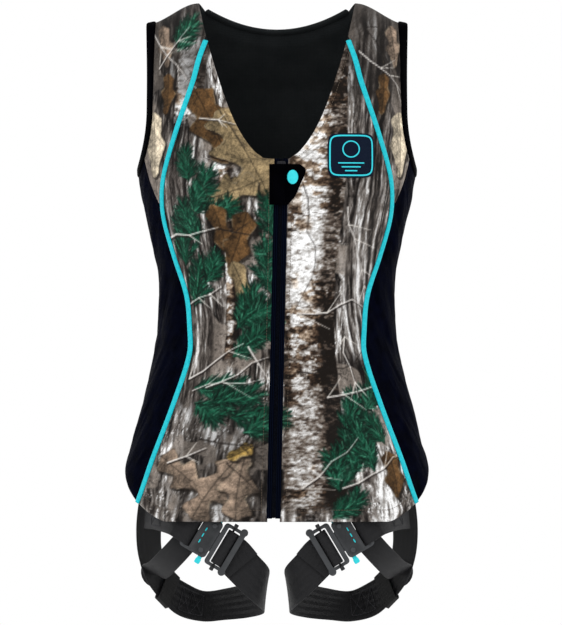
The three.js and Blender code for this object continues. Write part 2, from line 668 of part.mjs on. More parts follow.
// Stations are [x, y, z, width direction]; the width direction points to the strap's upper or inner edge.
const THIGH_STATIONS = [
  onBuckle(34, -6, -6.8),
  [-34, -70, -661, 0.66, 0.05, 0.73],
  [-17, -44, -680, 0.3, 0.15, 0.94],
  [-15, -6, -690, 0.05, 0.25, 0.97],
  [-34, 26, -697, 0, 0.4, 0.91],
  [-60, 42, -702, 0, 0.55, 0.83],
  [-88, 48, -705, 0.08, 0.6, 0.8],
  [-111, 43, -698, 0.36, 0.55, 0.75],
  [-130, 30, -684, 0.45, 0.76, 0.47],
  [-146, 18, -662, 0.55, 0.8, 0.22],
  [-153, 12, -636, 0.62, 0.78, 0.05],
  [-154, 10, -605, 0.65, 0.76, 0],
  [-148, 8, -540, 0.45, 0.89, 0],
  [-136, 6, -460, 0.15, 0.99, 0],
  [-125, 4, -388, 0, 1, 0],
];
const CROSS_STATIONS = [
  [-157, -14, -590, 0.1, 0, 0.99],
  [-141, -48, -591, 0.2, 0, 0.98],
  onBuckle(-52, 0, -1),
  onBuckle(-44, 0, 3.6),
  onBuckle(-37, 0, 6.6),
  onBuckle(-31, 0, 6.9),
  onBuckle(-26.7, 0, 4.4),
  onBuckle(-25, 0, 0.6),
  onBuckle(-24.9, 0, -3),
];
const DIAGONAL_STATIONS = [
  [-104, -70, -618, 0.74, 0, -0.67],
  [-117, -66, -632, 0.74, 0, -0.67],
  [-134, -47, -652, 0.74, 0, -0.67],
  [-151, -12, -671, 0.74, 0, -0.67],
];
const KEEPER_AT = 8.1; // the keeper's place, counted in the thigh strap's stations
const STRAP_END_STATIONS = [
  onBuckle(8.9, -1, -0.2),
  onBuckle(8.5, -1, 4),
  onBuckle(10.1, -1, 7.7),
  onBuckle(14.1, -1, 9.3),
  onBuckle(18.1, -1, 7.5),
  onBuckle(19.8, -1, 3.4),
  onBuckle(20.5, -1, -0.2),
  onBuckle(24.1, -1.4, -2.7),
  onBuckle(31, -2.9, -3.2),
  onBuckle(44, -7.6, -3.2),
];

function legLoop(sign) {
  const group = new THREE.Group();
  group.scale.x = -sign;
  const side = sign < 0 ? RIGHT : LEFT;
  const put = (name, geometry, look) => add(`${name}_${side}`, geometry, look, group);

  put("thigh_loop_strap", webbing(THIGH_STATIONS, WEBBING, WEB_THICK, 44), WEB);
  put("hip_cross_strap", webbing(CROSS_STATIONS, WEBBING - 4, WEB_THICK, 24), WEB);
  put("diagonal_strap", webbing(DIAGONAL_STATIONS, DIAGONAL_WIDTH, WEB_THICK, 12), WEB);
  put("strap_end", webbing(STRAP_END_STATIONS, WEBBING, WEB_THICK, 20), WEB);
  put("thigh_keeper", keeper(), WEB);
  for (const [name, geometry, look] of buckleParts()) {
    geometry.rotateX(90 * DEG); // own +Y becomes world +Z and own +Z becomes world -Y
    geometry.rotateY(BUCKLE.tilt * DEG);
    geometry.translate(BUCKLE.x, BUCKLE.y, BUCKLE.z);
    put(name, geometry, look);
  }
  vest.add(group);
}

// A flat elastic sleeve round the thigh loop strap: a closed ring, walked round the strap's section.
function keeper() {
  const { centre, lean } = routed(THIGH_STATIONS);
  const middle = KEEPER_AT / (THIGH_STATIONS.length - 1);
  const { point, along, side, face } = frameOn(centre, lean, middle);
  const corners = [[-1, -1], [1, -1], [1, 1], [-1, 1]];
  const corner = (a, b, half, thick) =>
    point.clone().addScaledVector(side, a * half).addScaledVector(face, b * thick);
  const ring = (half, thick) =>
    corners.map(([a, b]) => [-10, 10].map((v) => corner(a, b, half, thick).addScaledVector(along, v)));
  return between(ring(WEBBING / 2 + 3, 4.2), ring(WEBBING / 2 + 1.6, 3), true);
}

// The span from one distance to another on side s of the buckle's centre line.
const sprung = (s, from, to) => [Math.min(s * from, s * to), Math.max(s * from, s * to)];
function buckleParts() {
  const body = plate(-36, -0.4, -24, 24, 0, 4.6, 5);
  const slot = plate(-31, -23.6, -20.6, 20.6, -1, 6, 1);
  const throat = box(-16, 2, -14.5, 14.5, 1.1, 3.5);
  const leverWay = [1, -1].map((s) => box(-9.4, -2.6, ...sprung(s, 17.5, 30), 0.9, 3.7));
  const female = cut(body, slot, throat, ...leverWay);
  const rivets = [[-9, 16.5], [-9, -16.5]].map(([x, y]) =>
    new THREE.CylinderGeometry(3, 3, 1.4, 12).rotateX(90 * DEG).translate(x, y, 6.8));
  const cover = joined(plate(-22, -1.5, -22.5, 22.5, 4.9, 6.3, 4), ...rivets);
  const lever = (s) =>
    joined(
      box(-8.6, -3.4, ...sprung(s, 21, 31), 1.3, 3.3),
      plate(-9.4, -2.6, ...sprung(s, 26.5, 33), 0.4, 4.2, 1.6),
    );
  const ears = [1, -1].map((s) =>
    new THREE.CylinderGeometry(EAR, EAR, 4.4, 16).rotateX(90 * DEG).translate(25.4, s * 27, 2.2));
  const rim = joined(plate(0.6, 28.6, -27.5, 27.5, 0, 4.4, 4), ...ears);
  const frame = cut(rim, plate(6.4, 22.1, -23.4, 23.4, -1, 6, 1.6));
  const tongue = plate(-13, 3, -13, 13, 1.4, 3.2, 3);
  const bar = joined(
    box(11.7, 14.3, -31, 31, 4.7, 6.7),
    ...[1, -1].map((s) => box(10.5, 15.5, ...sprung(s, 26.2, 31.5), 4.7, 7.4)),
  );
  return [
    ["buckle_body", female, HARDWARE],
    ["buckle_cover", cover, HARDWARE],
    ["release_lever_upper", lever(1), TEAL],
    ["release_lever_lower", lever(-1), TEAL],
    ["male_buckle", joined(frame, tongue), HARDWARE],
    ["adjuster_bar", bar, HARDWARE],
  ];
}

for (const [, sign] of SIDES) legLoop(sign);

export default vest;
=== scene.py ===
"""Safety harness vest: a zipped woodland-print vest with a fall-arrest harness inside it.

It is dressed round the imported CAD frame. Sizes are in millimetres and are made metres when a mesh is made.
"""
import math

import bmesh
import bpy
import numpy as np
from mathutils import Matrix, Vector


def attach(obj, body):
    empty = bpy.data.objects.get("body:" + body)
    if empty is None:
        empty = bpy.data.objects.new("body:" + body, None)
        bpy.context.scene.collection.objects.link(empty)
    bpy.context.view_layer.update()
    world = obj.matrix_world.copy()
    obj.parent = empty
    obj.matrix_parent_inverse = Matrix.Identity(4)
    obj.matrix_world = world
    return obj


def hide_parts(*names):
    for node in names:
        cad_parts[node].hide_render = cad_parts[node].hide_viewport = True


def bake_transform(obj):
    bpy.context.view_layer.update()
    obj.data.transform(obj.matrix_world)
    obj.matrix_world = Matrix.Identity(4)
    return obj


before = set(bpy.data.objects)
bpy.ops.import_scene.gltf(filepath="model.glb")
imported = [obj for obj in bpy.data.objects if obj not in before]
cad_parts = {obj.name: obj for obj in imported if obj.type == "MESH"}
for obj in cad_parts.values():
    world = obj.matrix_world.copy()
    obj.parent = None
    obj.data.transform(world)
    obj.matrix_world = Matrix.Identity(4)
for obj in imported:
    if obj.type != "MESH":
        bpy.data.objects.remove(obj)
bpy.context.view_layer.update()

MM = 0.001
DEG = math.pi / 180
SIDES = (("right", -1), ("left", 1))

# ---------------------------------------------------------------- the vest's sizes, as in the CAD
HEM_DEPTH = 600
FRONT_DEPTH = 108
SHOULDER_ROUND = 165
PLAN_POWER = 2.3
NECK_X = 93.6
RIDGE_TOP = 20.4
SHOULDER_X = 156
SHOULDER_DROP = 25
HEM_RISE = 72
SEAM_GAP = 0.4
PIPING_CLEAR = 3.9
SEAM_TUCK = 2.2  # a panel's visible edge runs this close to the piping's centre line, under its rim
BINDING_CLEAR = 6
UNDERARM = -183
ARMHOLE_TURN = -110
YOKE_POINT = -224
YOKE_CORNER = -168
ZIP_TOP = -168
ZIP_BOTTOM = -596
ZIP_LEAN = 9.4
ZIP_TOP_X = 5.4
BACK_NECK_DIP = 30
BACK_BAND = 6.8
LINING_HEM = 588
WEBBING = 44.5
WEB_THICK = 1.8
BELT_Z = -352
CHEST_Z = -226
ARMHOLE_X = 151.5  # the armhole's place on the shoulder, from the centre
SHOULDER_HALF = 166  # half the vest's width there
ZIP_CLEAR = 7.4  # from the zip's centre line to a front's edge
CLOTH_THICK = 1.2
LINING_THICK = 1.0
HEM_STITCH_IN = 14  # the hem's stitching, up from its edge
SEAM_STITCH_IN = 6  # the zip's and neckline's stitching, in from their edges


# ---------------------------------------------------------------- small maths
def smooth(t):
    k = np.clip(t, 0, 1)
    return k * k * (3 - 2 * k)


def lerp(a, b, t):
    return a + (b - a) * t


def bell(x, width):
    """1 at x = 0, falling away on both sides."""
    return np.exp(-((x / width) ** 2))


def between(x, low, high, soft):
    """1 inside a range and 0 outside it, with soft ends inside it."""
    return smooth((x - low) / soft) * smooth((high - x) / soft)


def circle(count):
    """Angles evenly round a circle."""
    return np.linspace(0, 2 * math.pi, count, endpoint=False)


def squared(c, power):
    """A cosine or sine bent so that a circle of them becomes a rounded square."""
    return np.sign(c) * np.abs(c) ** (2 / power)


def run_of(points):
    """How far along a line of points each one is."""
    return np.concatenate([[0], np.cumsum(np.linalg.norm(np.diff(points, axis=0), axis=-1))])


def sample(values, run, spots):
    """Vectors kept along a line, read off at distances along it."""
    return np.stack([np.interp(spots, run, values[:, k]) for k in range(3)], -1)


def through(stations):
    """A smooth curve through stations (at, value), flat beyond its ends."""
    pts = np.array(sorted(stations), float)
    at, value = pts[:, 0], pts[:, 1]
    before = np.maximum(np.arange(len(at)) - 1, 0)
    after = np.minimum(np.arange(len(at)) + 1, len(at) - 1)
    slope = (value[after] - value[before]) / (at[after] - at[before])

    def curve(x):
        k = np.clip(np.asarray(x, float), at[0], at[-1])
        i = np.clip(np.searchsorted(at, k) - 1, 0, len(at) - 2)
        h = at[i + 1] - at[i]
        t = (k - at[i]) / h
        t2, t3 = t * t, t * t * t
        return (
            (2 * t3 - 3 * t2 + 1) * value[i]
            + (t3 - 2 * t2 + t) * h * slope[i]
            + (3 * t2 - 2 * t3) * value[i + 1]
            + (t3 - t2) * h * slope[i + 1]
        )

    return curve


# ---------------------------------------------------------------- the vest's outer surface
half_width = through([
    (40, 166), (-60, 166), (-190, 165.7), (-247, 155.4), (-300, 144), (-342, 141),
    (-395, 146), (-458, 161), (-504, 173), (-545, 184), (-612, 190),
])
back_depth = through([
    (40, 92), (-60, 103), (-84, 106.4), (-120, 100.2), (-176, 98.6), (-250, 89), (-340, 78), (-450, 98),
    (-530, 112), (-612, 110),
])


def ridge(x):
    return RIDGE_TOP - SHOULDER_DROP * smooth((x - NECK_X) / (SHOULDER_X - NECK_X))


def front_depth(phi, z):
    across = bell(np.abs(phi) / DEG - 36, 20)
    up = bell(z + 205, 75)
    off = 1 - bell(phi / DEG, 12)
    return FRONT_DEPTH + 14 * across * up * off


def at(phi, z):
    """Places on the surface: phi is 0 at the centre front and 90 degrees at the wearer's left side."""
    phi, z = np.broadcast_arrays(np.asarray(phi, float), np.asarray(z, float))
    s = np.sin(phi)
    x = half_width(z) * s
    drop = np.clip((ridge(np.abs(x)) - z) / SHOULDER_ROUND, 0, 1)
    round_ = np.sqrt(drop * (2 - drop))
    bow = np.maximum(1 - np.abs(s) ** PLAN_POWER, 0) ** (1 / PLAN_POWER)
    front = np.cos(phi) >= 0
    depth = np.where(front, front_depth(phi, z), back_depth(z))
    y = np.where(front, -1, 1) * (SEAM_GAP * (1 - round_) + depth * bow * round_)
    return np.stack([x, y, z], -1)


def tangents(phi, z):
    e = 0.012
    low = np.minimum(z, ridge(np.abs(half_width(z) * np.sin(phi))) - 3)
    across = (at(phi + e, low) - at(phi - e, low)) / (2 * e)
    up = (at(phi, low + 1) - at(phi, low - 1)) / 2
    return across, up


def unit(v):
    return v / np.maximum(np.linalg.norm(v, axis=-1, keepdims=True), 1e-9)


def normal(phi, z):
    across, up = tangents(phi, z)
    below = ridge(np.abs(half_width(z) * np.sin(phi))) - z
    t = smooth(below / 6)[..., None]
    return unit(np.array([0, 0, 1.0]) * (1 - t) + unit(np.cross(across, up)) * t)


def walk(phi, z, step):
    """Where a short walk along the surface leads."""
    a, b = tangents(phi, z)
    aa, ab, bb = (a * a).sum(-1), (a * b).sum(-1), (b * b).sum(-1)
    det = aa * bb - ab * ab
    sa, sb = (a * step).sum(-1), (b * step).sum(-1)
    return phi + (sa * bb - sb * ab) / det, z + (sb * aa - sa * ab) / det


def angle_at(x, z):
    return np.arcsin(np.clip(x / half_width(z), -1, 1))


# ---------------------------------------------------------------- outlines, for the wearer's left side
piping_x = through([
    (-24, 84), (-49, 93), (-74, 99.5), (-135, 120), (-184, 134), (-211, 137), (-240, 134.6),
    (-284, 122.4), (-330, 107.6), (-370, 103.6), (-401, 104), (-458, 122.4), (-528, 149), (-560, 160),
    (-590, 171),
])
neckline_x = through([
    (24, NECK_X), (20, NECK_X), (-22, 84.4), (-65, 72), (-110, 56.4), (-140, 41.5), (-160, 26), (-170, 12.5),
    (-176, 11),
])


def zip_x(z):
    return ZIP_TOP_X - (ZIP_TOP - z) * ZIP_LEAN / (ZIP_TOP - ZIP_BOTTOM)


def hem_rise(phi):
    from_side = np.arccos(np.clip(np.abs(np.sin(phi)), 0, 1)) / DEG
    return HEM_RISE * np.clip((45 - from_side) / 45, 0, 1) ** 1.25


def row_z(phi, r, top=ridge):
    x = np.abs(half_width(-r) * np.sin(phi))
    return -r + top(x) * (1 - smooth(r / 110)) + hem_rise(phi) * smooth((r - 430) / 170)


EDGE_PHI = math.asin(ARMHOLE_X / SHOULDER_HALF)


def armhole(t):
    """Half of the armhole, from the shoulder (t 0) to under the arm (t 1)."""
    t = np.asarray(t, float)
    straight = 0.45
    turn = np.clip((t - straight) / (1 - straight), 0, 1) * 90 * DEG
    phi = EDGE_PHI + (90 * DEG - EDGE_PHI) * (1 - np.cos(turn))
    upper = lerp(ridge(ARMHOLE_X), ARMHOLE_TURN, np.clip(t / straight, 0, 1) ** 2)
    return phi, np.where(t < straight, upper, lerp(ARMHOLE_TURN, UNDERARM, np.sin(turn)))


def armhole_edge(clear, count=60):
    """The armhole moved inwards over the surface, as arrays of angle and height."""
    t = np.linspace(0, 1, count)
    phi, z = armhole(t)
    ahead, behind = armhole(np.minimum(t + 0.01, 1)), armhole(np.maximum(t - 0.01, 0))
    along = unit(at(*ahead) - at(*behind))
    inward = unit(np.cross(along, normal(phi, z)))
    out_phi, out_z = walk(phi, z, inward * clear)
    out_phi[-1], out_z[-1] = 90 * DEG, UNDERARM - clear
    return out_phi, out_z


EDGE = armhole_edge(BINDING_CLEAR - 0.8)


def armhole_phi(z):
    return np.interp(-z, -EDGE[1], EDGE[0])


def yoke_phi(z):
    low = angle_at(piping_x(YOKE_POINT) + PIPING_CLEAR - 1, YOKE_POINT)
    t = (YOKE_CORNER - z) / (YOKE_CORNER - YOKE_POINT)
    return np.where(z > YOKE_CORNER, armhole_phi(z), lerp(armhole_phi(YOKE_CORNER), low, t))


def piping_phi(z, clear):
    return angle_at(piping_x(z) + clear, z)


def seam_phi(z):
    return np.where(z > YOKE_POINT, yoke_phi(z), piping_phi(z, -SEAM_TUCK))


def on_row(edge):
    """An edge that is an angle for a height, as an angle for a row's depth."""

    def find(r):
        z = -np.asarray(r, float)
        for _ in range(8):
            z = row_z(edge(z), r)
        return edge(z)

    return find


# ---------------------------------------------------------------- noise
OCTAVE_FADE = 0.55


def lattice_noise(x, y, seed):
    """Smooth value noise from 0 to 1."""
    xi, yi = np.floor(x).astype(np.int64), np.floor(y).astype(np.int64)
    fx, fy = smooth(x - xi), smooth(y - yi)

    def corner(i, j):
        h = (xi + i) * 374761393 + (yi + j) * 668265263 + seed * 2147483647
        h = (h ^ (h >> 13)) * 1274126177
        return ((h ^ (h >> 16)) & 0xFFFF) / 65535.0

    low = lerp(corner(0, 0), corner(1, 0), fx)
    high = lerp(corner(0, 1), corner(1, 1), fx)
    return lerp(low, high, fy)


def fbm(x, y, seed, octaves=4):
    """Value noise in octaves, from 0 to 1."""
    total, weight, size = 0.0, 0.0, 1.0
    for k in range(octaves):
        total = total + size * lattice_noise(x * 2**k + 17.3 * k, y * 2**k - 9.1 * k, seed + k)
        weight += size
        size *= OCTAVE_FADE
    return total / weight


# ---------------------------------------------------------------- the woodland print
PRINT_STEP = 0.8  # millimetres between the print's samples
PRINT_WIDE = 270  # it reaches this far each side of a panel's centre line
PRINT_HIGH = 45
PRINT_LOW = -628
PRINT_RADIUS = 150  # round the body, an angle of one radian is this much cloth

BARK = ((0.0, (0.05, 0.04, 0.035)), (0.28, (0.18, 0.16, 0.15)), (0.5, (0.36, 0.335, 0.315)),
        (0.68, (0.51, 0.485, 0.465)), (0.84, (0.69, 0.68, 0.67)), (1.0, (0.97, 0.97, 0.97)))
BIRCH = ((0.0, (0.09, 0.075, 0.065)), (0.25, (0.27, 0.225, 0.195)), (0.45, (0.46, 0.42, 0.385)),
         (0.68, (0.72, 0.71, 0.70)), (1.0, (0.99, 0.99, 0.99)))
STONE = (0.53, 0.49, 0.455)
TAN_LEAF = (0.60, 0.52, 0.385)
BROWN_LEAF = (0.38, 0.275, 0.165)
BEIGE_LEAF = (0.56, 0.485, 0.42)
PALE_LEAF = (0.86, 0.80, 0.70)
GOLD_LEAF = (0.66, 0.54, 0.30)
NEEDLES = ((0.015, 0.08, 0.055), (0.03, 0.16, 0.115), (0.065, 0.30, 0.215), (0.27, 0.53, 0.42))
# how many needles per millimetre, how wide, and from which colours up to which
NEEDLE_LAYERS = ((0.9, 1.8, 0, 1), (0.85, 1.2, 0, 2), (0.75, 1.0, 1, 3), (0.3, 0.8, 2, 4))
TWIG_LIT = (0.93, 0.91, 0.89)
TWIG_SHADE = (0.10, 0.08, 0.07)
SHOOT_LIT = (0.90, 0.88, 0.85)
SHOOT_DARK = (0.11, 0.09, 0.08)


def ramp(t, stops):
    t = np.clip(t, 0, 1)
    places = [s[0] for s in stops]
    return np.stack([np.interp(t, places, [s[1][k] for s in stops]) for k in range(3)], -1)


def heading_of(angle):
    return np.array((math.cos(angle * DEG), math.sin(angle * DEG)))


class Print:
    """A woodland print, drawn in sRGB on a plane of cloth: u across and v up, in millimetres."""

    def __init__(self, seed):
        self.random = np.random.default_rng(seed)
        self.u = np.arange(-PRINT_WIDE, PRINT_WIDE, PRINT_STEP)
        self.v = np.arange(PRINT_LOW, PRINT_HIGH, PRINT_STEP)
        self.seed = seed
        grid_u, grid_v = np.meshgrid(self.u, self.v)
        self.rgb = self.bark(grid_u, grid_v)
        self.stones(grid_u, grid_v)

    def bark(self, u, v):
        """Upright bark, with thin dark cracks and thin bright lit edges."""
        s = self.seed
        bent = u + 26 * (fbm(u / 70, v / 110, s + 3) - 0.5)
        zone = fbm(u / 60, v / 45, s + 7, 3) - 0.5
        coarse = fbm(bent / 9, v / 60, s + 11, 5)
        fine = fbm(bent / 2.3, v / 14, s + 21, 3)
        t = 0.46 + 1.5 * (coarse - 0.5) + 1.1 * (fine - 0.5) + 1.0 * zone
        crack = np.abs(fbm(bent / 7, v / 42, s + 31, 3) - 0.5)
        lit = np.abs(fbm(bent / 5, v / 24, s + 35, 3) - 0.56)
        t = t - 0.6 * bell(crack, 0.014) + 0.5 * bell(lit, 0.010) * (zone > -0.02)
        return ramp(t, BARK)

    def stones(self, u, v):
        """Flat pale patches between the trunks, with thin cracks."""
        field = fbm(u / 42, v / 48, self.seed + 41, 3)
        mask = smooth((field - 0.56) / 0.03)[..., None] * 0.8
        grain = fbm(u / 3, v / 3, self.seed + 43, 3)[..., None]
        crack = np.abs(fbm(u / 17, v / 11, self.seed + 47, 4) - 0.5)
        colour = np.array(STONE) * (0.72 + 0.5 * grain)
        colour = colour * (1 - 0.6 * bell(crack, 0.010))[..., None]
        self.rgb = lerp(self.rgb, colour, mask)

    def window(self, u0, u1, v0, v1):
        i0, i1 = np.searchsorted(self.u, (u0, u1))
        j0, j1 = np.searchsorted(self.v, (v0, v1))
        grid = np.meshgrid(self.u[i0:i1], self.v[j0:j1])
        return (slice(j0, j1), slice(i0, i1)), grid[0], grid[1]

    def lay(self, where, mask, colour):
        if mask.size:
            mask = np.clip(mask, 0, 1)[..., None]
            self.rgb[where] = lerp(self.rgb[where], colour, mask)

    def stroke(self, a, b, wide_a, wide_b, colour, strength=1.0):
        """A tapered line between two places."""
        (ax, ay), (bx, by) = a, b
        reach = max(wide_a, wide_b) + 1.5
        across = (min(ax, bx) - reach, max(ax, bx) + reach)
        up = (min(ay, by) - reach, max(ay, by) + reach)
        where, u, v = self.window(*across, *up)
        dx, dy = bx - ax, by - ay
        t = np.clip(((u - ax) * dx + (v - ay) * dy) / max(dx * dx + dy * dy, 1e-6), 0, 1)
        gap = np.hypot(u - ax - t * dx, v - ay - t * dy)
        half = lerp(wide_a, wide_b, t) / 2
        self.lay(where, strength * np.clip((half - gap) / 0.9 + 0.5, 0, 1), np.array(colour))

    def birch(self, centre, half, v0, v1, lean=0.0, white=0.0):
        """A pale trunk lit from the left: white, then grey, then a dark strip before its right edge."""
        where, u, v = self.window(centre - half - 30, centre + half + 30, v0, v1)
        ragged = 4 * (fbm(u / 30, v / 16, self.seed + 61) - 0.5)
        q = (u - centre - lean * (v - v1) + ragged) / half
        lit = 0.86 + white - 0.34 * smooth((q + 0.15) / 0.6) - 0.26 * smooth((q - 0.30) / 0.2)
        lit = lit - 0.26 * smooth((-q - 0.62) / 0.3) - 0.32 * smooth((-300 - v) / 130)
        fleck = fbm(u / 3.6, v / 1.7, self.seed + 63, 4) - 0.5
        flake = fbm(u / 13, v / 4.2, self.seed + 65, 4) - 0.5
        zone = smooth((fbm(u / 60, v / 46, self.seed + 67, 3) - 0.50) / 0.08)
        brown = zone * smooth((fbm(u / 11, v / 7, self.seed + 69, 4) - 0.44) / 0.07)
        t = lit + 1.0 * fleck + 0.8 * flake - 0.36 * brown
        slit = np.abs(fbm(u / 16, v / 2.6, self.seed + 70, 3) - 0.5)
        t = t - 0.45 * bell(slit, 0.010)
        edge = np.clip((1 - np.abs(q)) * half / 1.4, 0, 1)
        edge = edge * smooth((v - v0) / 24 + fleck) * smooth((v1 - v) / 24 + fleck)
        tint = lerp(np.array((1.0, 1.0, 1.0)), np.array((0.95, 0.84, 0.72)), (brown * 0.8)[..., None])
        self.lay(where, edge, ramp(t, BIRCH) * tint)

    def ridged(self, u0, u1, v0, v1):
        """Bark in strong upright ridges."""
        where, u, v = self.window(u0, u1, v0, v1)
        bent = u + 9 * np.sin(v / 70 + self.seed) + 10 * (fbm(u / 40, v / 60, self.seed + 71) - 0.5)
        t = 0.46 + 2.2 * (fbm(bent / 4.2, v / 80, self.seed + 73, 4) - 0.5)
        t = t + 0.9 * (fbm(bent / 1.6, v / 9, self.seed + 77, 3) - 0.5)
        fade = between(u, u0, u1, 10) * between(v, v0, v1, 30)
        self.lay(where, fade * 0.85, ramp(t, BARK))

    def painted_shade(self, u0, u1, v0, v1, strength):
        """Darkens a part of the print with a soft-edged patch of painted shade."""
        where, u, v = self.window(u0, u1, v0, v1)
        fade = between(u, u0, u1, 14) * between(v, v0, v1, 30)
        cloud = 0.5 + fbm(u / 18, v / 18, self.seed + 81, 3)
        self.lay(where, strength * fade * cloud, np.array((0.07, 0.06, 0.055)))

    def leaf(self, place, angle, long, wide, colour, lobes=3.0, deep=0.45):
        """A lobed leaf with veins, over its own shadow."""
        reach = long + wide
        where, u, v = self.window(place[0] - reach, place[0] + reach, place[1] - reach, place[1] + reach)
        if not u.size:
            return
        dark = np.array((0.09, 0.07, 0.055))
        c, s = math.cos(angle * DEG), math.sin(angle * DEG)

        def shape(shift_u, shift_v):
            du, dv = u - place[0] - shift_u, v - place[1] - shift_v
            along = (du * c + dv * s) / long
            side = (-du * s + dv * c + 0.12 * long * (along - 0.5) ** 2) / wide
            wave = 1 - deep * (0.5 + 0.5 * np.cos(2 * math.pi * lobes * (along + 0.16 * np.abs(side)))) ** 0.7
            body = np.sqrt(np.clip(np.sin(math.pi * np.clip(along, 0, 1) ** 0.8), 0, 1))
            ragged = 0.16 * (fbm(u / 7, v / 7, self.seed + 83, 3) - 0.5)
            return along, side, (body * wave + ragged) * (along > 0) * (along < 1) - np.abs(side)

        _, _, shadow = shape(2.4, -3.2)
        self.lay(where, 0.72 * np.clip(shadow * wide / 2.5 + 0.5, 0, 1) * (shadow > -0.12), dark)
        along, side, inside = shape(0, 0)
        mask = np.clip(inside * wide + 0.5, 0, 1) * (inside > -0.2)
        mottle = fbm(u / 9, v / 9, self.seed + 89, 4)
        speck = fbm(u / 1.6, v / 1.6, self.seed + 91, 3) - 0.5
        shade = 0.50 + 0.72 * mottle + 0.7 * speck + 0.14 * np.sign(side) * smooth(np.abs(side) * 4)
        rib = np.abs(side) * wide
        twig = np.abs((along * lobes * 2 - np.abs(side) * 1.1) % 1 - 0.5) * long / (lobes * 2)
        vein = np.maximum(bell(rib, 0.8), 0.6 * bell(twig, 0.6))
        rim = bell(inside * wide, 1.6)
        look = np.array(colour) * (shade * (1 - 0.45 * vein) * (1 - 0.35 * rim))[..., None]
        look = lerp(look, np.array((0.90, 0.84, 0.72)), (0.35 * rim * (mottle > 0.56))[..., None])
        self.lay(where, mask, look)

    def spray(self, place, angle, long, needle=15):
        """A spruce branch: a stem and its side shoots, all in thin needles, pale ones over dark ones."""
        draw = self.random
        shoots = [(np.array(place, float), angle, long)]
        for share in (0.08, 0.24, 0.4, 0.56, 0.72):
            for side in (-1, 1):
                foot = shoots[0][0] + long * share * heading_of(angle)
                turned = angle + side * draw.uniform(24, 46)
                shoots.append((foot, turned, long * draw.uniform(0.30, 0.46) * (1 - 0.5 * share)))
        for weight, wide, low, high in NEEDLE_LAYERS:
            for foot, way, size in shoots:
                for _ in range(int(size * weight)):
                    k = draw.uniform(0, 1)
                    root = foot + heading_of(way) * size * k
                    turned = way + draw.choice((-1, 1)) * draw.uniform(12, 44) * (1.1 - 0.6 * k)
                    tip = root + heading_of(turned) * needle * draw.uniform(0.5, 1.0) * (1 - 0.25 * k)
                    colour = np.array(NEEDLES[draw.integers(low, high)]) * draw.uniform(0.6, 1.3)
                    self.stroke(root, tip, wide, 0.5 * wide, colour, 0.85)

    def twig(self, a, b, wide, light=True, forks=2):
        """A thin bent branch with side shoots: a pale lit edge over a dark one."""
        draw = self.random
        a, b = np.array(a, float), np.array(b, float)
        long = np.linalg.norm(b - a)
        side = np.array((-(b - a)[1], (b - a)[0])) / max(long, 1)
        steps = max(int(long / 18), 2)
        knots = []
        for k in range(steps + 1):
            stray = draw.normal(0, 0.022) * long * (0 < k < steps)
            knots.append(a + (b - a) * k / steps + side * stray)
        for k in range(steps):
            w0, w1 = wide * (1 - 0.6 * k / steps), wide * (1 - 0.6 * (k + 1) / steps)
            lower = np.array((0.5, -0.75)) * wide
            self.stroke(knots[k] + lower, knots[k + 1] + lower, w0, w1, TWIG_SHADE, 0.85)
            if light:
                self.stroke(knots[k], knots[k + 1], w0 * 0.8, w1 * 0.8, TWIG_LIT, 0.9)
        for _ in range(forks):
            k = draw.integers(0, steps)
            turn = draw.choice((-1, 1)) * draw.uniform(0.5, 1.0)
            x, y = (b - a) / long
            c, s = math.cos(turn), math.sin(turn)
            way = np.array((x * c - y * s, x * s + y * c))
            end = knots[k] + way * long * draw.uniform(0.2, 0.4)
            self.stroke(knots[k], end, wide * 0.6, wide * 0.3, SHOOT_LIT if light else SHOOT_DARK, 0.85)

    def colours(self, phi, z, back=False):
        """Linear colours where the cloth lies."""
        turn = (math.pi - phi) if back else phi
        i = np.clip((turn * PRINT_RADIUS + PRINT_WIDE) / PRINT_STEP, 0, len(self.u) - 1.01)
        j = np.clip((z - PRINT_LOW) / PRINT_STEP, 0, len(self.v) - 1.01)
        i0, j0 = i.astype(int), j.astype(int)
        fi, fj = (i - i0)[..., None], (j - j0)[..., None]
        low = lerp(self.rgb[j0, i0], self.rgb[j0, i0 + 1], fi)
        high = lerp(self.rgb[j0 + 1, i0], self.rgb[j0 + 1, i0 + 1], fi)
        shade = np.clip(lerp(low, high, fj), 0, 1)
        return np.where(shade <= 0.04045, shade / 12.92, ((shade + 0.055) / 1.055) ** 2.4)


def on(x, z):
    """The print's place for a point x from the centre line at height z."""
    return float(PRINT_RADIUS * angle_at(x, z)), z


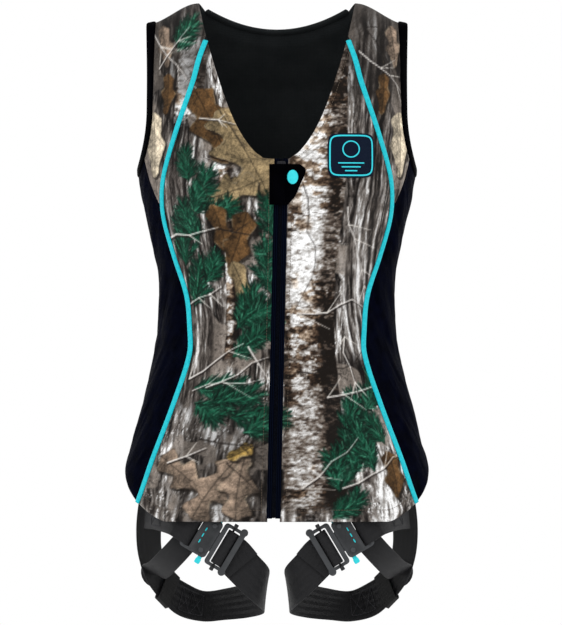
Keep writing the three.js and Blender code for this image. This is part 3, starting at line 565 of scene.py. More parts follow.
def front_print():
    art = Print(5)
    art.ridged(84, 150, -420, 20)
    art.ridged(-150, -78, -480, -120)
    art.ridged(6, 24, -600, -190)
    art.birch(50, 33, -600, 30, lean=0.02, white=0.06)
    art.birch(-58, 8, -420, -150)
    art.birch(-96, 20, -130, -30, lean=0.1)
    # patches of painted shade laid over the print: over the shoulder tops, and a lighter one low on the front
    for side in (-1, 1):
        art.painted_shade(side * 132 - 62, side * 132 + 62, -110, 70, 0.45)
    art.painted_shade(-112, 6, -610, -440, 0.25)
    art.leaf(on(-96, -84), -64, 98, 30, BROWN_LEAF, 2.6, 0.5)
    art.leaf(on(-66, -108), -62, 118, 40, TAN_LEAF, 3.0, 0.62)
    art.leaf(on(-22, -196), -160, 66, 22, TAN_LEAF, 2.4, 0.6)
    for place, angle, long in (((-108, -296), 84, 70), ((-100, -236), 62, 62), ((-92, -268), 112, 52),
                               ((-104, -196), 100, 40), ((-84, -240), 28, 42), ((-98, -344), 76, 60),
                               ((-6, -330), 98, 66), ((-4, -262), 96, 50), ((-118, -40), 60, 46),
                               ((-4, -390), 104, 56), ((-84, -316), 60, 40)):
        art.spray(on(*place), angle, long)
    art.leaf(on(-76, -222), -76, 60, 17, BROWN_LEAF, 1.8, 0.5)
    art.leaf(on(-34, -232), -112, 74, 20, BROWN_LEAF, 2.0, 0.5)
    art.leaf(on(-52, -290), -70, 52, 15, TAN_LEAF, 1.7, 0.4)
    for place, angle, long in (((-48, -372), 62, 60), ((-20, -392), 100, 60), ((-42, -360), 20, 50),
                               ((-52, -404), 40, 50), ((-98, -440), -4, 66), ((-84, -462), 12, 66),
                               ((-56, -476), 4, 60), ((-40, -494), 24, 50), ((-98, -458), -30, 42)):
        art.spray(on(*place), angle, long)
    art.leaf(on(-136, -520), -36, 74, 22, BEIGE_LEAF, 2.2, 0.6)
    art.leaf(on(-104, -596), 58, 84, 26, BEIGE_LEAF, 2.6, 0.66)
    art.leaf(on(-52, -598), 84, 78, 22, BEIGE_LEAF, 2.4, 0.6)
    art.leaf(on(-28, -510), -150, 30, 10, GOLD_LEAF, 1.6)
    for place, angle, long in (((92, -546), 84, 66), ((82, -496), 66, 58), ((116, -540), 104, 60),
                               ((104, -470), 60, 50), ((74, -566), 92, 52), ((66, -596), 40, 44),
                               ((128, -508), 118, 40)):
        art.spray(on(*place), angle, long)
    art.leaf(on(132, -516), -84, 56, 17, BROWN_LEAF, 2.0)
    for side in (-1, 1):
        art.leaf(on(side * 146, -112), -88, 78, 22, PALE_LEAF, 2.3, 0.35)
        art.leaf(on(side * 128, -66), -96, 50, 13, BROWN_LEAF, 2.4, 0.4)
        art.leaf(on(side * 136, -8), -80, 52, 15, BEIGE_LEAF, 2.2, 0.4)
    for a, b, wide, light, forks in (
        ((84, -226), (108, -338), 2.2, True, 6), ((24, -352), (124, -338), 2.2, True, 2),
        ((-130, -264), (-70, -250), 2.8, True, 1), ((-70, -250), (-4, -262), 2.0, False, 2),
        ((-124, -352), (-66, -320), 2.4, True, 2), ((-104, -430), (-40, -388), 2.4, True, 3),
        ((-34, -392), (4, -446), 2.6, True, 2), ((-100, -444), (-16, -430), 1.5, True, 2),
        ((-84, -440), (-10, -404), 2.0, True, 2), ((-92, -500), (-14, -512), 2.0, False, 3),
        ((30, -196), (46, -330), 1.2, False, 1), ((24, -420), (118, -408), 1.8, False, 3),
        ((60, -452), (136, -430), 2.2, True, 3), ((78, -560), (150, -520), 2.0, True, 2),
        ((80, -380), (96, -452), 2.2, True, 5), ((-92, -120), (-46, -128), 2.0, True, 3),
        ((-146, -20), (-96, -84), 2.2, True, 4), ((-140, -60), (-104, -10), 1.8, True, 3),
        ((98, -40), (150, -92), 2.0, True, 4), ((104, -10), (140, -70), 1.6, False, 3),
        ((30, -560), (96, -500), 1.8, True, 2), ((-130, -530), (-84, -512), 2.4, True, 2),
        ((-60, -530), (-8, -580), 1.4, False, 4), ((-44, -508), (-8, -540), 1.2, False, 3),
    ):
        art.twig(on(*a), on(*b), wide, light, forks)
    return art


def back_print():
    art = Print(23)
    draw = art.random
    art.ridged(-170, -96, -520, 10)
    art.ridged(60, 170, -600, -60)
    art.birch(-48, 30, -610, 40, lean=-0.02, white=0.06)
    art.birch(92, 9, -480, 20)
    for _ in range(15):
        place = (draw.uniform(-190, 190), draw.uniform(-560, 0))
        colour = (TAN_LEAF, BROWN_LEAF, BEIGE_LEAF)[draw.integers(0, 3)]
        angle, long, wide = draw.uniform(-150, -30), draw.uniform(48, 84), draw.uniform(16, 28)
        art.leaf(place, angle, long, wide, colour, draw.uniform(2, 3.2))
        for _ in range(2):
            near = (place[0] + draw.uniform(-60, 60), place[1] + draw.uniform(-70, 60))
            art.spray(near, draw.uniform(0, 120), draw.uniform(44, 68))
    for _ in range(22):
        a = (draw.uniform(-200, 200), draw.uniform(-590, 20))
        b = (a[0] + draw.uniform(-90, 90), a[1] + draw.uniform(-70, 70))
        art.twig(a, b, draw.uniform(1.6, 2.8), draw.random() < 0.6)
    return art


# ---------------------------------------------------------------- mesh making
def linked(name, data):
    """An object in the scene that holds a mesh, a lamp or a camera."""
    made = bpy.data.objects.new(name, data)
    bpy.context.scene.collection.objects.link(made)
    return made


def new_piece(name, points, faces):
    mesh = bpy.data.meshes.new(name)
    mesh.from_pydata((np.asarray(points) * MM).tolist(), [], faces)
    mesh.shade_smooth()
    return linked(name, mesh)


def keep_values(piece, name, values):
    """Stores a colour (4 numbers) or a vector (3) for each point."""
    kind, key = ("FLOAT_COLOR", "color") if values.shape[-1] == 4 else ("FLOAT_VECTOR", "vector")
    layer = piece.data.attributes.new(name, kind, "POINT")
    layer.data.foreach_set(key, np.asarray(values, np.float32).ravel())


def finish_piece(piece, body, look, slot_name, *nodes):
    piece.data.materials.clear()
    piece.data.materials.append(look)
    if nodes:
        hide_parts(*nodes)
    if body:
        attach(piece, body)
    return piece


def lattice_faces(rows, cols):
    i, j = np.arange(rows - 1)[:, None], np.arange(cols - 1)[None, :]
    corners = (i * cols + j, i * cols + j + 1, (i + 1) * cols + j + 1, (i + 1) * cols + j)
    return np.stack(np.broadcast_arrays(*corners), -1).reshape(-1, 4)


def faces_out(points, faces):
    a, b, c, d = (points[faces[:, k]] for k in range(4))
    volume = (np.cross(a, b) * c + np.cross(a, c) * d).sum()
    return faces if volume > 0 else faces[:, ::-1]


def from_edge(place):
    """How far each point of a lattice is from the lattice's nearest edge."""

    def along(axis):
        step = np.linalg.norm(np.diff(place, axis=axis), axis=-1)
        run = np.cumsum(step, axis=axis)
        start = np.zeros_like(np.take(run, [0], axis=axis))
        run = np.concatenate([start, run], axis=axis)
        return np.minimum(run, np.take(run, [-1], axis=axis) - run)

    return np.minimum(along(0), along(1))


def roll(gap, radius=1.6):
    """How full a sheet's section is near its edge, which is rounded."""
    return np.sqrt(1 - (1 - np.clip(gap / radius, 0, 1)) ** 2)


def two_faced(name, outer, inner, across, along):
    """A closed sheet between two lattices of points, with its cloth coordinates."""
    rows, cols = outer.shape[:2]
    count = rows * cols
    points = np.concatenate([outer.reshape(-1, 3), inner.reshape(-1, 3)])
    ring = np.concatenate([
        np.arange(cols), np.arange(2 * cols - 1, count, cols),
        np.arange(count - 2, count - cols - 1, -1), np.arange(count - 2 * cols, 0, -cols),
    ])
    after = np.roll(ring, -1)
    rim = np.stack([ring, ring + count, after + count, after], -1)
    top = lattice_faces(rows, cols)
    faces = np.concatenate([top, top[:, ::-1] + count, rim])
    piece = new_piece(name, points, faces_out(points, faces).tolist())
    flat = np.stack(np.broadcast_arrays(across, along, 0.0), -1).reshape(-1, 3)
    keep_values(piece, "Cloth", np.concatenate([flat, flat]))
    return piece


def shell(name, phi, z, high, low, colours=None):
    """A closed piece of cloth over a lattice of places, between two offsets from the vest's surface."""
    place, out = at(phi, z), normal(phi, z)
    rolled = roll(from_edge(place))
    middle, half = (high + low) / 2, (high - low) / 2
    reach = half * (0.15 + 0.85 * rolled)
    outer, inner = (place + out * (middle + side * reach)[..., None] for side in (1, -1))
    piece = two_faced(name, outer, inner, phi * PRINT_RADIUS, z)
    if colours is not None:
        rgba = np.concatenate([colours.reshape(-1, 3), np.ones((phi.size, 1))], 1)
        wrong_side = rgba * (0.25, 0.25, 0.25, 1)
        keep_values(piece, "Print", np.concatenate([rgba, wrong_side]))
    declare_cloth(place)
    return piece


def declare_cloth(place):
    """Works out a panel's size as if cut flat: as wide as its widest row, as long as its longest column, and
    its area; none of these is kept.
    """
    width = np.linalg.norm(np.diff(place, axis=1), axis=-1).sum(1).max()
    length = np.linalg.norm(np.diff(place, axis=0), axis=-1).sum(0).max()
    across, down = np.diff(place, axis=1)[:-1], np.diff(place, axis=0)[:, :-1]
    area = np.linalg.norm(np.cross(across, down), axis=-1).sum()
    area = np.clip(area, 0.31 * width * length, width * length)


def tube(name, rings, closed=False, facts=None):
    """A closed solid through rings of points, an array (ring, corner, place)."""
    count, corners = rings.shape[:2]
    i, j = np.arange(count if closed else count - 1)[:, None], np.arange(corners)[None, :]
    ahead, beside = (i + 1) % count, (j + 1) % corners
    quads = (i * corners + j, i * corners + beside, ahead * corners + beside, ahead * corners + j)
    faces = np.stack(np.broadcast_arrays(*quads), -1).reshape(-1, 4)
    centre = rings.mean(1)
    points = rings.reshape(-1, 3)
    middle = points[faces].mean(1)
    outward = middle - np.repeat(centre[: len(faces) // corners], corners, 0)
    a, b, c, d = (points[faces[:, k]] for k in range(4))
    if (np.cross(c - a, d - b) * outward).sum() < 0:
        faces = faces[:, ::-1]
        ends = [list(range(corners))[::-1], list(range((count - 1) * corners, count * corners))]
    else:
        ends = [list(range(corners)), list(range((count - 1) * corners, count * corners))[::-1]]
    ends = [end[::-1] for end in ends]
    piece = new_piece(name, points, faces.tolist() + ([] if closed else ends))
    if facts is not None:
        keep_values(piece, "Cloth", facts.reshape(-1, 3))
    return piece


def flat_section(width, thick, across=9):
    """A webbing's section with round edges, as (across, outward) pairs going round it."""
    half, r = width / 2 - thick / 2, thick / 2
    run = np.linspace(-half, half, across)
    bend = np.linspace(0, math.pi, 5)[1:-1]
    sides = [
        np.stack([run, np.full(across, r)], 1),
        np.stack([half + r * np.sin(bend), r * np.cos(bend)], 1),
        np.stack([run[::-1], np.full(across, -r)], 1),
        np.stack([-half - r * np.sin(bend), -r * np.cos(bend)], 1),
    ]
    return np.concatenate(sides)


def round_section(half_wide, low, high, power=2.0, count=16):
    """A rounded section between two heights."""
    turn = circle(count)
    a = half_wide * squared(np.cos(turn), power)
    b = (high + low) / 2 + (high - low) / 2 * squared(np.sin(turn), power)
    return np.stack([a, b], 1)


def evenly(phi, z, step, closed=False):
    """A path of places with even steps along the surface."""
    if closed:
        phi, z = np.append(phi, phi[0]), np.append(z, z[0])
    run = run_of(at(phi, z))
    count = max(int(run[-1] / step), 2)
    s = np.linspace(0, run[-1], count + 1)[: count if closed else count + 1]
    return np.interp(s, run, phi), np.interp(s, run, z), s


def band(name, phi, z, section, step=3.0, closed=False):
    """A section swept along a path on the vest."""
    phi, z, run = evenly(np.asarray(phi, float), np.asarray(z, float), step, closed)
    place, out = at(phi, z), normal(phi, z)
    ahead, behind = np.roll(place, -1, 0), np.roll(place, 1, 0)
    if not closed:
        ahead[-1], behind[0] = place[-1], place[0]
    across = unit(np.cross(unit(ahead - behind), out))
    a, b = section[:, 0], section[:, 1]
    side_phi, side_z = walk(phi[:, None], z[:, None], across[:, None, :] * a[None, :, None])
    rings = at(side_phi, side_z) + normal(side_phi, side_z) * b[None, :, None]
    facts = np.stack(np.broadcast_arrays(a[None, :], run[:, None], 0.0), -1)
    return tube(name, rings, closed, facts)


# ---------------------------------------------------------------- free webbing
def centripetal(points):
    """The centripetal Catmull-Rom curve through points, as in the CAD: a function of its parameter."""
    points = np.asarray(points, float)
    ends = [2 * points[0] - points[1], *points, 2 * points[-1] - points[-2]]
    ends = np.array(ends)
    gap = np.maximum((np.diff(ends, axis=0) ** 2).sum(-1) ** 0.25, 1e-9)
    gap[1:-1] = np.where(gap[1:-1] < 1e-4, 1.0, gap[1:-1])
    gap[0] = gap[1] if gap[0] < 1e-4 else gap[0]
    gap[-1] = gap[-2] if gap[-1] < 1e-4 else gap[-1]

    def curve(t):
        s = np.clip(np.asarray(t, float), 0, 1) * (len(points) - 1)
        i = np.clip(s.astype(int), 0, len(points) - 2)
        w = (s - i)[:, None]
        p0, p1, p2, p3 = ends[i], ends[i + 1], ends[i + 2], ends[i + 3]
        d0, d1, d2 = gap[i][:, None], gap[i + 1][:, None], gap[i + 2][:, None]
        m1 = ((p1 - p0) / d0 - (p2 - p0) / (d0 + d1) + (p2 - p1) / d1) * d1
        m2 = ((p2 - p1) / d1 - (p3 - p1) / (d1 + d2) + (p3 - p2) / d2) * d1
        w2, w3 = w * w, w**3
        return p1 + m1 * w + (-3 * p1 + 3 * p2 - 2 * m1 - m2) * w2 + (2 * p1 - 2 * p2 + m1 + m2) * w3

    return curve


def routed(stations, step):
    """A strap's middle line, width direction and face direction, at even steps of length."""
    stations = np.asarray(stations, float)
    centre, lean = centripetal(stations[:, :3]), centripetal(stations[:, 3:])
    t = np.linspace(0, 1, 2000)
    run = run_of(centre(t))
    s = np.linspace(0, run[-1], max(int(run[-1] / step), 4) + 1)
    t = np.interp(s, run, t)
    point = centre(t)
    along = unit(np.gradient(point, axis=0))
    side = unit(lean(t))
    side = unit(side - along * (side * along).sum(-1, keepdims=True))
    return point, side, unit(np.cross(along, side)), s


def webbing(name, stations, width, sign, body, node, step=2.5):
    """Free webbing through stations, laid out for the wearer's right leg and mirrored for the left."""
    point, side, face, run = routed(stations, step)
    section = flat_section(width, WEB_THICK, 13)
    a, b = section[:, 0][None, :, None], section[:, 1][None, :, None]
    rings = point[:, None] + side[:, None] * a + face[:, None] * b
    ripple = 0.35 * (fbm(run[:, None] / 26, section[:, 0][None, :] / 30, 97, 2) - 0.5)
    rings = rings + face[:, None] * ripple[..., None]
    rings[..., 0] *= -sign
    facts = np.stack(np.broadcast_arrays(a[..., 0], run[:, None], 0.0), -1)
    return finish_piece(tube(name, rings, False, facts), body, WEB, "webbing", node)


# ---------------------------------------------------------------- thread
STITCH_SWELL = np.array([0.35, 0.9, 1.0, 0.9, 0.35])
STITCH_REACH = np.array([-1.0, -0.8, 0.0, 0.8, 1.0])
STITCH_CORNERS = 6


def stitch_rings(line, normals, pitch, long, radius):
    """Rings of points round each stitch on a line: (stitch, ring, corner, place)."""
    run = run_of(line)
    spots = np.arange(pitch / 2, run[-1], pitch)
    reach = STITCH_REACH * long / 2
    turn = circle(STITCH_CORNERS)
    centre, up = sample(line, run, spots), unit(sample(normals, run, spots))
    ahead = sample(line, run, np.minimum(spots + 0.5, run[-1]))
    behind = sample(line, run, np.maximum(spots - 0.5, 0))
    along = unit(ahead - behind)
    side = np.cross(along, up)
    arch = (1 - STITCH_REACH**2) * radius * 0.6
    spine = centre[:, None] + along[:, None] * reach[None, :, None] + up[:, None] * arch[None, :, None]
    c, s = np.cos(turn)[None, None, :, None], np.sin(turn)[None, None, :, None]
    wheel = side[:, None, None] * c + up[:, None, None] * s
    return spine[:, :, None] + wheel * (radius * STITCH_SWELL)[None, :, None, None]


def stitches(name, lines, normals, pitch=3.4, long=2.5, radius=0.32):
    """Separate stitches of thread along lines of points, on a surface with the outward directions given."""
    rings = np.concatenate([stitch_rings(*pair, pitch, long, radius) for pair in zip(lines, normals)])
    count, per_stitch = STITCH_CORNERS, STITCH_CORNERS * len(STITCH_REACH)
    faces = []
    for base in range(0, per_stitch * len(rings), per_stitch):
        for low in range(base, base + per_stitch - count, count):
            for c in range(count):
                n = (c + 1) % count
                faces.append([low + c, low + count + c, low + count + n, low + n])
        faces.append([base + c for c in range(count)])
        faces.append([base + per_stitch - count + c for c in reversed(range(count))])
    return new_piece(name, rings.reshape(-1, 3), faces)


FORWARD = (0, -1.0, 0)
BACKWARD = (0, 1.0, 0)


def level_stitches(name, lines, outward, pitch, long, radius):
    """Stitches along straight lines that all face one way."""
    return stitches(name, lines, [np.tile(outward, (len(k), 1)) for k in lines], pitch, long, radius)


def on_vest(phi, z, lift):
    """A line of points at an offset from the vest, with the outward directions there."""
    phi, z, _ = evenly(np.asarray(phi, float), np.asarray(z, float), 4)
    out = normal(phi, z)
    return at(phi, z) + out * lift, out


# ---------------------------------------------------------------- materials
class Look:
    """A material being made: a Principled shader, and short calls that add nodes to it."""

    def __init__(self, name, **sockets):
        self.made = bpy.data.materials.new(name)
        self.made.use_nodes = True
        self.tree = self.made.node_tree
        self.shader = self.tree.nodes["Principled BSDF"]
        for label, value in sockets.items():
            self.shader.inputs[label.replace("_", " ")].default_value = value

    def add(self, kind, inputs, out=0, **settings):
        node = self.tree.nodes.new(kind)
        for key, value in settings.items():
            setattr(node, key, value)
        for key, value in inputs.items():
            if isinstance(value, bpy.types.NodeSocket):
                self.tree.links.new(value, node.inputs[key])
            else:
                node.inputs[key].default_value = value
        return node.outputs[out]

    def maths(self, operation, a, b=0.0, c=0.0):
        return self.add("ShaderNodeMath", {0: a, 1: b, 2: c}, operation=operation)

    def place(self):
        """Millimetres in the vest's own frame."""
        spot = self.add("ShaderNodeTexCoord", {}, "Object")
        return self.add("ShaderNodeVectorMath", {0: spot, 3: 1000.0}, operation="SCALE")

    def cloth(self):
        """Millimetres across and along the cloth."""
        return self.add("ShaderNodeAttribute", {}, "Vector", attribute_name="Cloth")

    def axes(self, vector):
        node = self.tree.nodes.new("ShaderNodeSeparateXYZ")
        self.tree.links.new(vector, node.inputs[0])
        return node.outputs

    def noise(self, vector, size, detail=3.0, rough=0.55, stretch=None):
        if stretch:
            vector = self.add("ShaderNodeVectorMath", {0: vector, 1: stretch}, operation="MULTIPLY")
        sockets = {"Vector": vector, "Scale": 1 / size, "Detail": detail, "Roughness": rough}
        return self.add("ShaderNodeTexNoise", sockets)

    def wave(self, run, pitch):
        """A sine that repeats every so many millimetres."""
        return self.maths("SINE", self.maths("MULTIPLY", run, 2 * math.pi / pitch))

    def ramp(self, value, stops):
        node = self.tree.nodes.new("ShaderNodeValToRGB")
        self.tree.links.new(value, node.inputs[0])
        points = node.color_ramp.elements
        while len(points) < len(stops):
            points.new(0.5)
        for point, (spot, colour) in zip(points, stops):
            point.position = spot
            point.color = (*colour, 1)
        return node.outputs[0]

    def mix(self, share, a, b, kind="MIX"):
        node = self.tree.nodes.new("ShaderNodeMix")
        node.data_type = "RGBA"
        node.blend_type = kind
        for socket, value in ((node.inputs[0], share), (node.inputs[6], a), (node.inputs[7], b)):
            if isinstance(value, bpy.types.NodeSocket):
                self.tree.links.new(value, socket)
            else:
                socket.default_value = value if isinstance(value, float) else (*value, 1)
        return node.outputs[2]

    def colour(self, socket):
        self.tree.links.new(socket, self.shader.inputs["Base Color"])

    def rough(self, value, low, high):
        node = self.tree.nodes.new("ShaderNodeMapRange")
        self.tree.links.new(value, node.inputs[0])
        node.inputs[3].default_value = low
        node.inputs[4].default_value = high
        self.tree.links.new(node.outputs[0], self.shader.inputs["Roughness"])

    def bump(self, *layers):
        """Heights, each with the millimetres it stands for, one laid on the next."""
        last = None
        for height, depth in layers:
            node = self.tree.nodes.new("ShaderNodeBump")
            node.inputs["Distance"].default_value = depth * MM
            self.tree.links.new(height, node.inputs["Height"])
            if last:
                self.tree.links.new(last, node.inputs["Normal"])
            last = node.outputs[0]
        self.tree.links.new(last, self.shader.inputs["Normal"])


def printed_fleece():
    look = Look("camo_fabric", Sheen_Weight=0.03, Sheen_Roughness=0.5, Specular_IOR_Level=0.12)
    place = look.place()
    printed = look.add("ShaderNodeAttribute", {}, "Color", attribute_name="Print")
    grain = look.noise(look.cloth(), 0.9, 2.0, 0.7, (1.0, 0.45, 1.0))
    shade = look.ramp(grain, ((0.25, (0.62, 0.62, 0.62)), (0.75, (1.32, 1.32, 1.32))))
    look.colour(look.mix(1.0, printed, shade, "MULTIPLY"))
    nap = look.noise(place, 0.55, 3.0, 0.65)
    look.rough(nap, 0.8, 0.95)
    look.bump((look.noise(place, 7, 3.0), 0.5), (nap, 0.22))
    return look.made


def stretch_knit(name, base, lit, sheen):
    blue = (0.35, 0.45, 1.0, 1)
    look = Look(name, Sheen_Weight=sheen, Sheen_Roughness=0.35, Sheen_Tint=blue, Specular_IOR_Level=0.004)
    x, y, _ = look.axes(look.cloth())
    rib = look.wave(x, 0.9)
    course = look.wave(y, 1.1)
    knit = look.maths("MULTIPLY_ADD", rib, 0.3, look.maths("MULTIPLY", course, 0.2))
    cloud = look.noise(look.place(), 16, 4.0)
    look.colour(look.ramp(cloud, ((0.35, base), (0.75, lit))))
    look.rough(cloud, 0.42, 0.62)
    look.bump((look.noise(look.place(), 5, 3.0), 0.5), (knit, 0.14))
    return look.made


def piping_cloth():
    look = Look("piping", Sheen_Weight=0.02, Sheen_Roughness=0.4, Specular_IOR_Level=0.1)
    x, y, _ = look.axes(look.cloth())
    twill = look.wave(look.maths("MULTIPLY_ADD", x, 0.9, y), 1.1)
    soft = look.noise(look.place(), 3, 4.0)
    base = look.ramp(soft, ((0.3, (0.010, 0.50, 0.60)), (0.7, (0.030, 0.68, 0.76))))
    look.colour(look.mix(look.maths("MULTIPLY_ADD", twill, 0.12, 0.12), base, (0.004, 0.33, 0.42)))
    look.rough(soft, 0.45, 0.6)
    look.bump((soft, 0.25), (twill, 0.1))
    return look.made


def mesh_cloth():
    """Warp-knitted lining: rows of small round holes."""
    look = Look("mesh_lining", Sheen_Weight=0.01, Sheen_Roughness=0.5, Specular_IOR_Level=0.05)
    grid = {"Vector": look.cloth(), "Scale": 0.62, "Randomness": 0.15}
    cell = look.add("ShaderNodeTexVoronoi", grid, "Distance")
    hole = look.maths("SMOOTH_MIN", look.maths("MULTIPLY", cell, 1.6), 0.75, 0.2)
    soft = look.noise(look.place(), 30, 3.0)
    base = look.ramp(soft, ((0.3, (0.0115, 0.0135, 0.0145)), (0.7, (0.0165, 0.0185, 0.0195))))
    # the holes are painted much darker: painted shade seen through them
    look.colour(look.mix(look.maths("SUBTRACT", 0.75, hole), base, (0.004, 0.005, 0.0055)))
    look.rough(soft, 0.8, 0.95)
    look.bump((look.noise(look.place(), 22, 3.0), 0.9), (hole, 0.25))
    return look.made


def woven_webbing(name, base, lit, pitch=2.1, gloss=0.5):
    """Polyester webbing, which has slightly raised selvedges; this draws only its herringbone weave."""
    look = Look(name, Sheen_Weight=0.02, Sheen_Roughness=0.4, Specular_IOR_Level=0.2)
    x, y, _ = look.axes(look.cloth())
    zig = look.maths("PINGPONG", x, pitch * 2)
    slant = look.wave(look.maths("ADD", y, zig), pitch)
    warp = look.wave(x, 0.7)
    weave = look.maths("MULTIPLY_ADD", warp, 0.25, slant)
    streak = look.noise(look.cloth(), 1.6, 3.0, 0.6, (1.0, 0.05, 1.0))
    base_mix = look.ramp(streak, ((0.3, base), (0.7, lit)))
    dark = tuple(0.55 * k for k in base)
    look.colour(look.mix(look.maths("MULTIPLY_ADD", weave, -0.2, 0.22), base_mix, dark))
    look.rough(streak, gloss, gloss + 0.18)
    look.bump((look.noise(look.place(), 14, 2.0), 0.6), (weave, 0.16))
    return look.made


def zip_cloth():
    look = Look("zip_tape", Specular_IOR_Level=0.006)
    x, y, _ = look.axes(look.cloth())
    bar = look.wave(y, 0.8)
    rib = look.wave(x, 2.2)
    share = look.maths("MULTIPLY_ADD", rib, 0.5, 0.5)
    look.colour(look.mix(share, (0.0006, 0.0010, 0.003), (0.003, 0.005, 0.013)))
    look.rough(look.noise(look.place(), 4), 0.5, 0.75)
    look.bump((rib, 0.22), (bar, 0.1))
    return look.made


def satin_metal(name, base, lit, low, high, metal=1.0):
    """Anodised or coated metal: fine grain, and its sharp edges a little brighter."""
    look = Look(name, Metallic=metal)
    place = look.place()
    grain = look.noise(place, 0.5, 4.0, 0.6, (1.0, 1.0, 0.3))
    cloud = look.noise(place, 9, 3.0)
    edge_sharpness = look.add("ShaderNodeNewGeometry", {}, "Pointiness")
    edge = look.ramp(edge_sharpness, ((0.5, (0.0, 0.0, 0.0)), (0.56, (1.0, 1.0, 1.0))))
    tint = look.ramp(cloud, ((0.3, base), (0.7, lit)))
    bright = tuple(min(k * 2.4, 1.0) for k in lit)
    look.colour(look.mix(look.maths("MULTIPLY", look.axes(edge)[0], 0.6), tint, bright))
    look.rough(cloud, low, high)
    look.bump((cloud, 0.12), (grain, 0.04))
    return look.made


def moulded(name, base, lit, low=0.25, high=0.4, shine=0.3):
    look = Look(name, Specular_IOR_Level=shine)
    fine = look.noise(look.place(), 0.7, 3.0)
    cloud = look.noise(look.place(), 6, 3.0)
    look.colour(look.ramp(cloud, ((0.3, base), (0.7, lit))))
    look.rough(cloud, low, high)
    look.bump((cloud, 0.1), (fine, 0.04))
    return look.made


def thread(name, base, lit):
    look = Look(name, Sheen_Weight=0.03, Specular_IOR_Level=0.15)
    fine = look.noise(look.place(), 0.35, 3.0, 0.6)
    look.colour(look.ramp(fine, ((0.3, base), (0.7, lit))))
    look.rough(fine, 0.5, 0.75)
    look.bump((fine, 0.1))
    return look.made


def badge_cloth():
    look = Look("embroidery", Sheen_Weight=0.01, Specular_IOR_Level=0.06)
    x, y, _ = look.axes(look.cloth())
    row = look.wave(look.maths("ADD", x, y), 1.1)
    share = look.maths("MULTIPLY_ADD", row, 0.5, 0.5)
    look.colour(look.mix(share, (0.0025, 0.006, 0.018), (0.006, 0.013, 0.032)))
    look.rough(look.noise(look.place(), 2), 0.6, 0.8)
    look.bump((row, 0.15))
    return look.made


CAMO = printed_fleece()
STRETCH = stretch_knit("stretch_fabric", (0.0004, 0.0006, 0.0026), (0.0014, 0.0020, 0.0075), 0.004)
BINDING = stretch_knit("binding", (0.0003, 0.0003, 0.0007), (0.0008, 0.0008, 0.0016), 0.002)
PIPING = piping_cloth()
LINING_MESH = mesh_cloth()
WEB = woven_webbing("webbing", (0.0075, 0.0075, 0.0085), (0.0135, 0.0135, 0.0155), 2.1, 0.4)
ELASTIC = woven_webbing("elastic", (0.0150, 0.0150, 0.0150), (0.0215, 0.0215, 0.0215), 1.2, 0.6)
ZIP_TAPE = zip_cloth()
ZIP_COIL = moulded("zip_coil", (0.0006, 0.001, 0.003), (0.002, 0.003, 0.007), 0.4, 0.5, 0.04)
ZIP_METAL = satin_metal("zip_metal", (0.008, 0.008, 0.010), (0.016, 0.016, 0.018), 0.35, 0.45)
HARDWARE = satin_metal("hardware", (0.030, 0.032, 0.034), (0.046, 0.048, 0.051), 0.42, 0.55, 0.85)
RIVET = satin_metal("rivet", (0.010, 0.010, 0.011), (0.020, 0.020, 0.021), 0.25, 0.35, 0.9)
LEVER = moulded("release_lever", (0.012, 0.55, 0.62), (0.030, 0.68, 0.74))
SNAP = moulded("snap_cap", (0.020, 0.60, 0.68), (0.035, 0.70, 0.76), 0.3, 0.42)
BADGE = badge_cloth()
PLASTIC = moulded("buckle_plastic", (0.004, 0.004, 0.005), (0.010, 0.010, 0.011), 0.35, 0.5, 0.2)
TEAL_THREAD = thread("teal_thread", (0.016, 0.52, 0.62), (0.06, 0.74, 0.84))
DARK_THREAD = thread("dark_thread", (0.030, 0.030, 0.034), (0.060, 0.060, 0.066))
BROWN_THREAD = thread("brown_thread", (0.07, 0.05, 0.035), (0.16, 0.125, 0.09))


# ---------------------------------------------------------------- vest panels
def depths(start, end, step):
    return np.linspace(start, end, max(int(round((end - start) / step)), 2) + 1)


def edged(r, first, last, cols, top=ridge):
    """A lattice of places between two edges, each an angle for each row's depth."""
    share = np.linspace(0, 1, cols)[None, :]
    phi = first[:, None] + (last - first)[:, None] * share
    return phi, row_z(phi, r[:, None], top)


def zip_edge(z, sign, clear):
    return angle_at(sign * zip_x(np.minimum(z, ZIP_TOP)) + clear, z)


def front_inner(sign, clear):
    def edge(z):
        neck = angle_at(neckline_x(z) + clear * 0.3, z)
        return np.where(z > ZIP_TOP, neck, zip_edge(z, sign, ZIP_CLEAR + clear))

    return edge


def puckers(phi, z, gap, seed, depth=0.35):
    """Small gathers beside a seam, and the soft unevenness of a sewn panel."""
    u = phi * PRINT_RADIUS
    near = np.exp(-gap / 7)
    gathers = (fbm(u / 9, z / 9, seed, 3) - 0.5) * near
    drape = (fbm(u / 46, z / 70, seed + 5, 3) - 0.5) * smooth(gap / 12)
    return 2.2 * depth * gathers + 2.0 * drape


def seam_rise(gap, rise, soft):
    """A panel's height above the vest's surface, lowest at its sewn edge."""
    return 0.1 + rise * (1 - np.exp(-gap / soft))


def piping_edge(clear):
    """The edge that follows the piping, at a distance from its centre line."""
    return on_row(lambda z: piping_phi(z, clear))


def camo_panel(name, phi, z, high, art, node, back=False):
    piece = shell(name, phi, z, high, high - CLOTH_THICK, art.colours(phi, z, back))
    finish_piece(piece, "vest", CAMO, "camo_fabric", node)


def front_panels(art):
    r = depths(43, HEM_DEPTH, 1.27)
    for side, sign in SIDES:
        phi, z = edged(r, on_row(front_inner(sign, 0))(r), piping_edge(-SEAM_TUCK)(r), 104)
        gap = from_edge(at(phi, z))
        high = seam_rise(gap, 0.8, 5) + puckers(phi, z, gap, 201 + sign)
        hem = HEM_DEPTH - r[:, None]
        high = high - 0.55 * bell(hem - HEM_STITCH_IN, 1.6)
        high = high - 0.45 * bell(from_zip(phi, z, sign) - SEAM_STITCH_IN, 1.3)
        camo_panel(f"front_panel_{side}", phi * sign, z, high, art, f"front_shell_{side}")


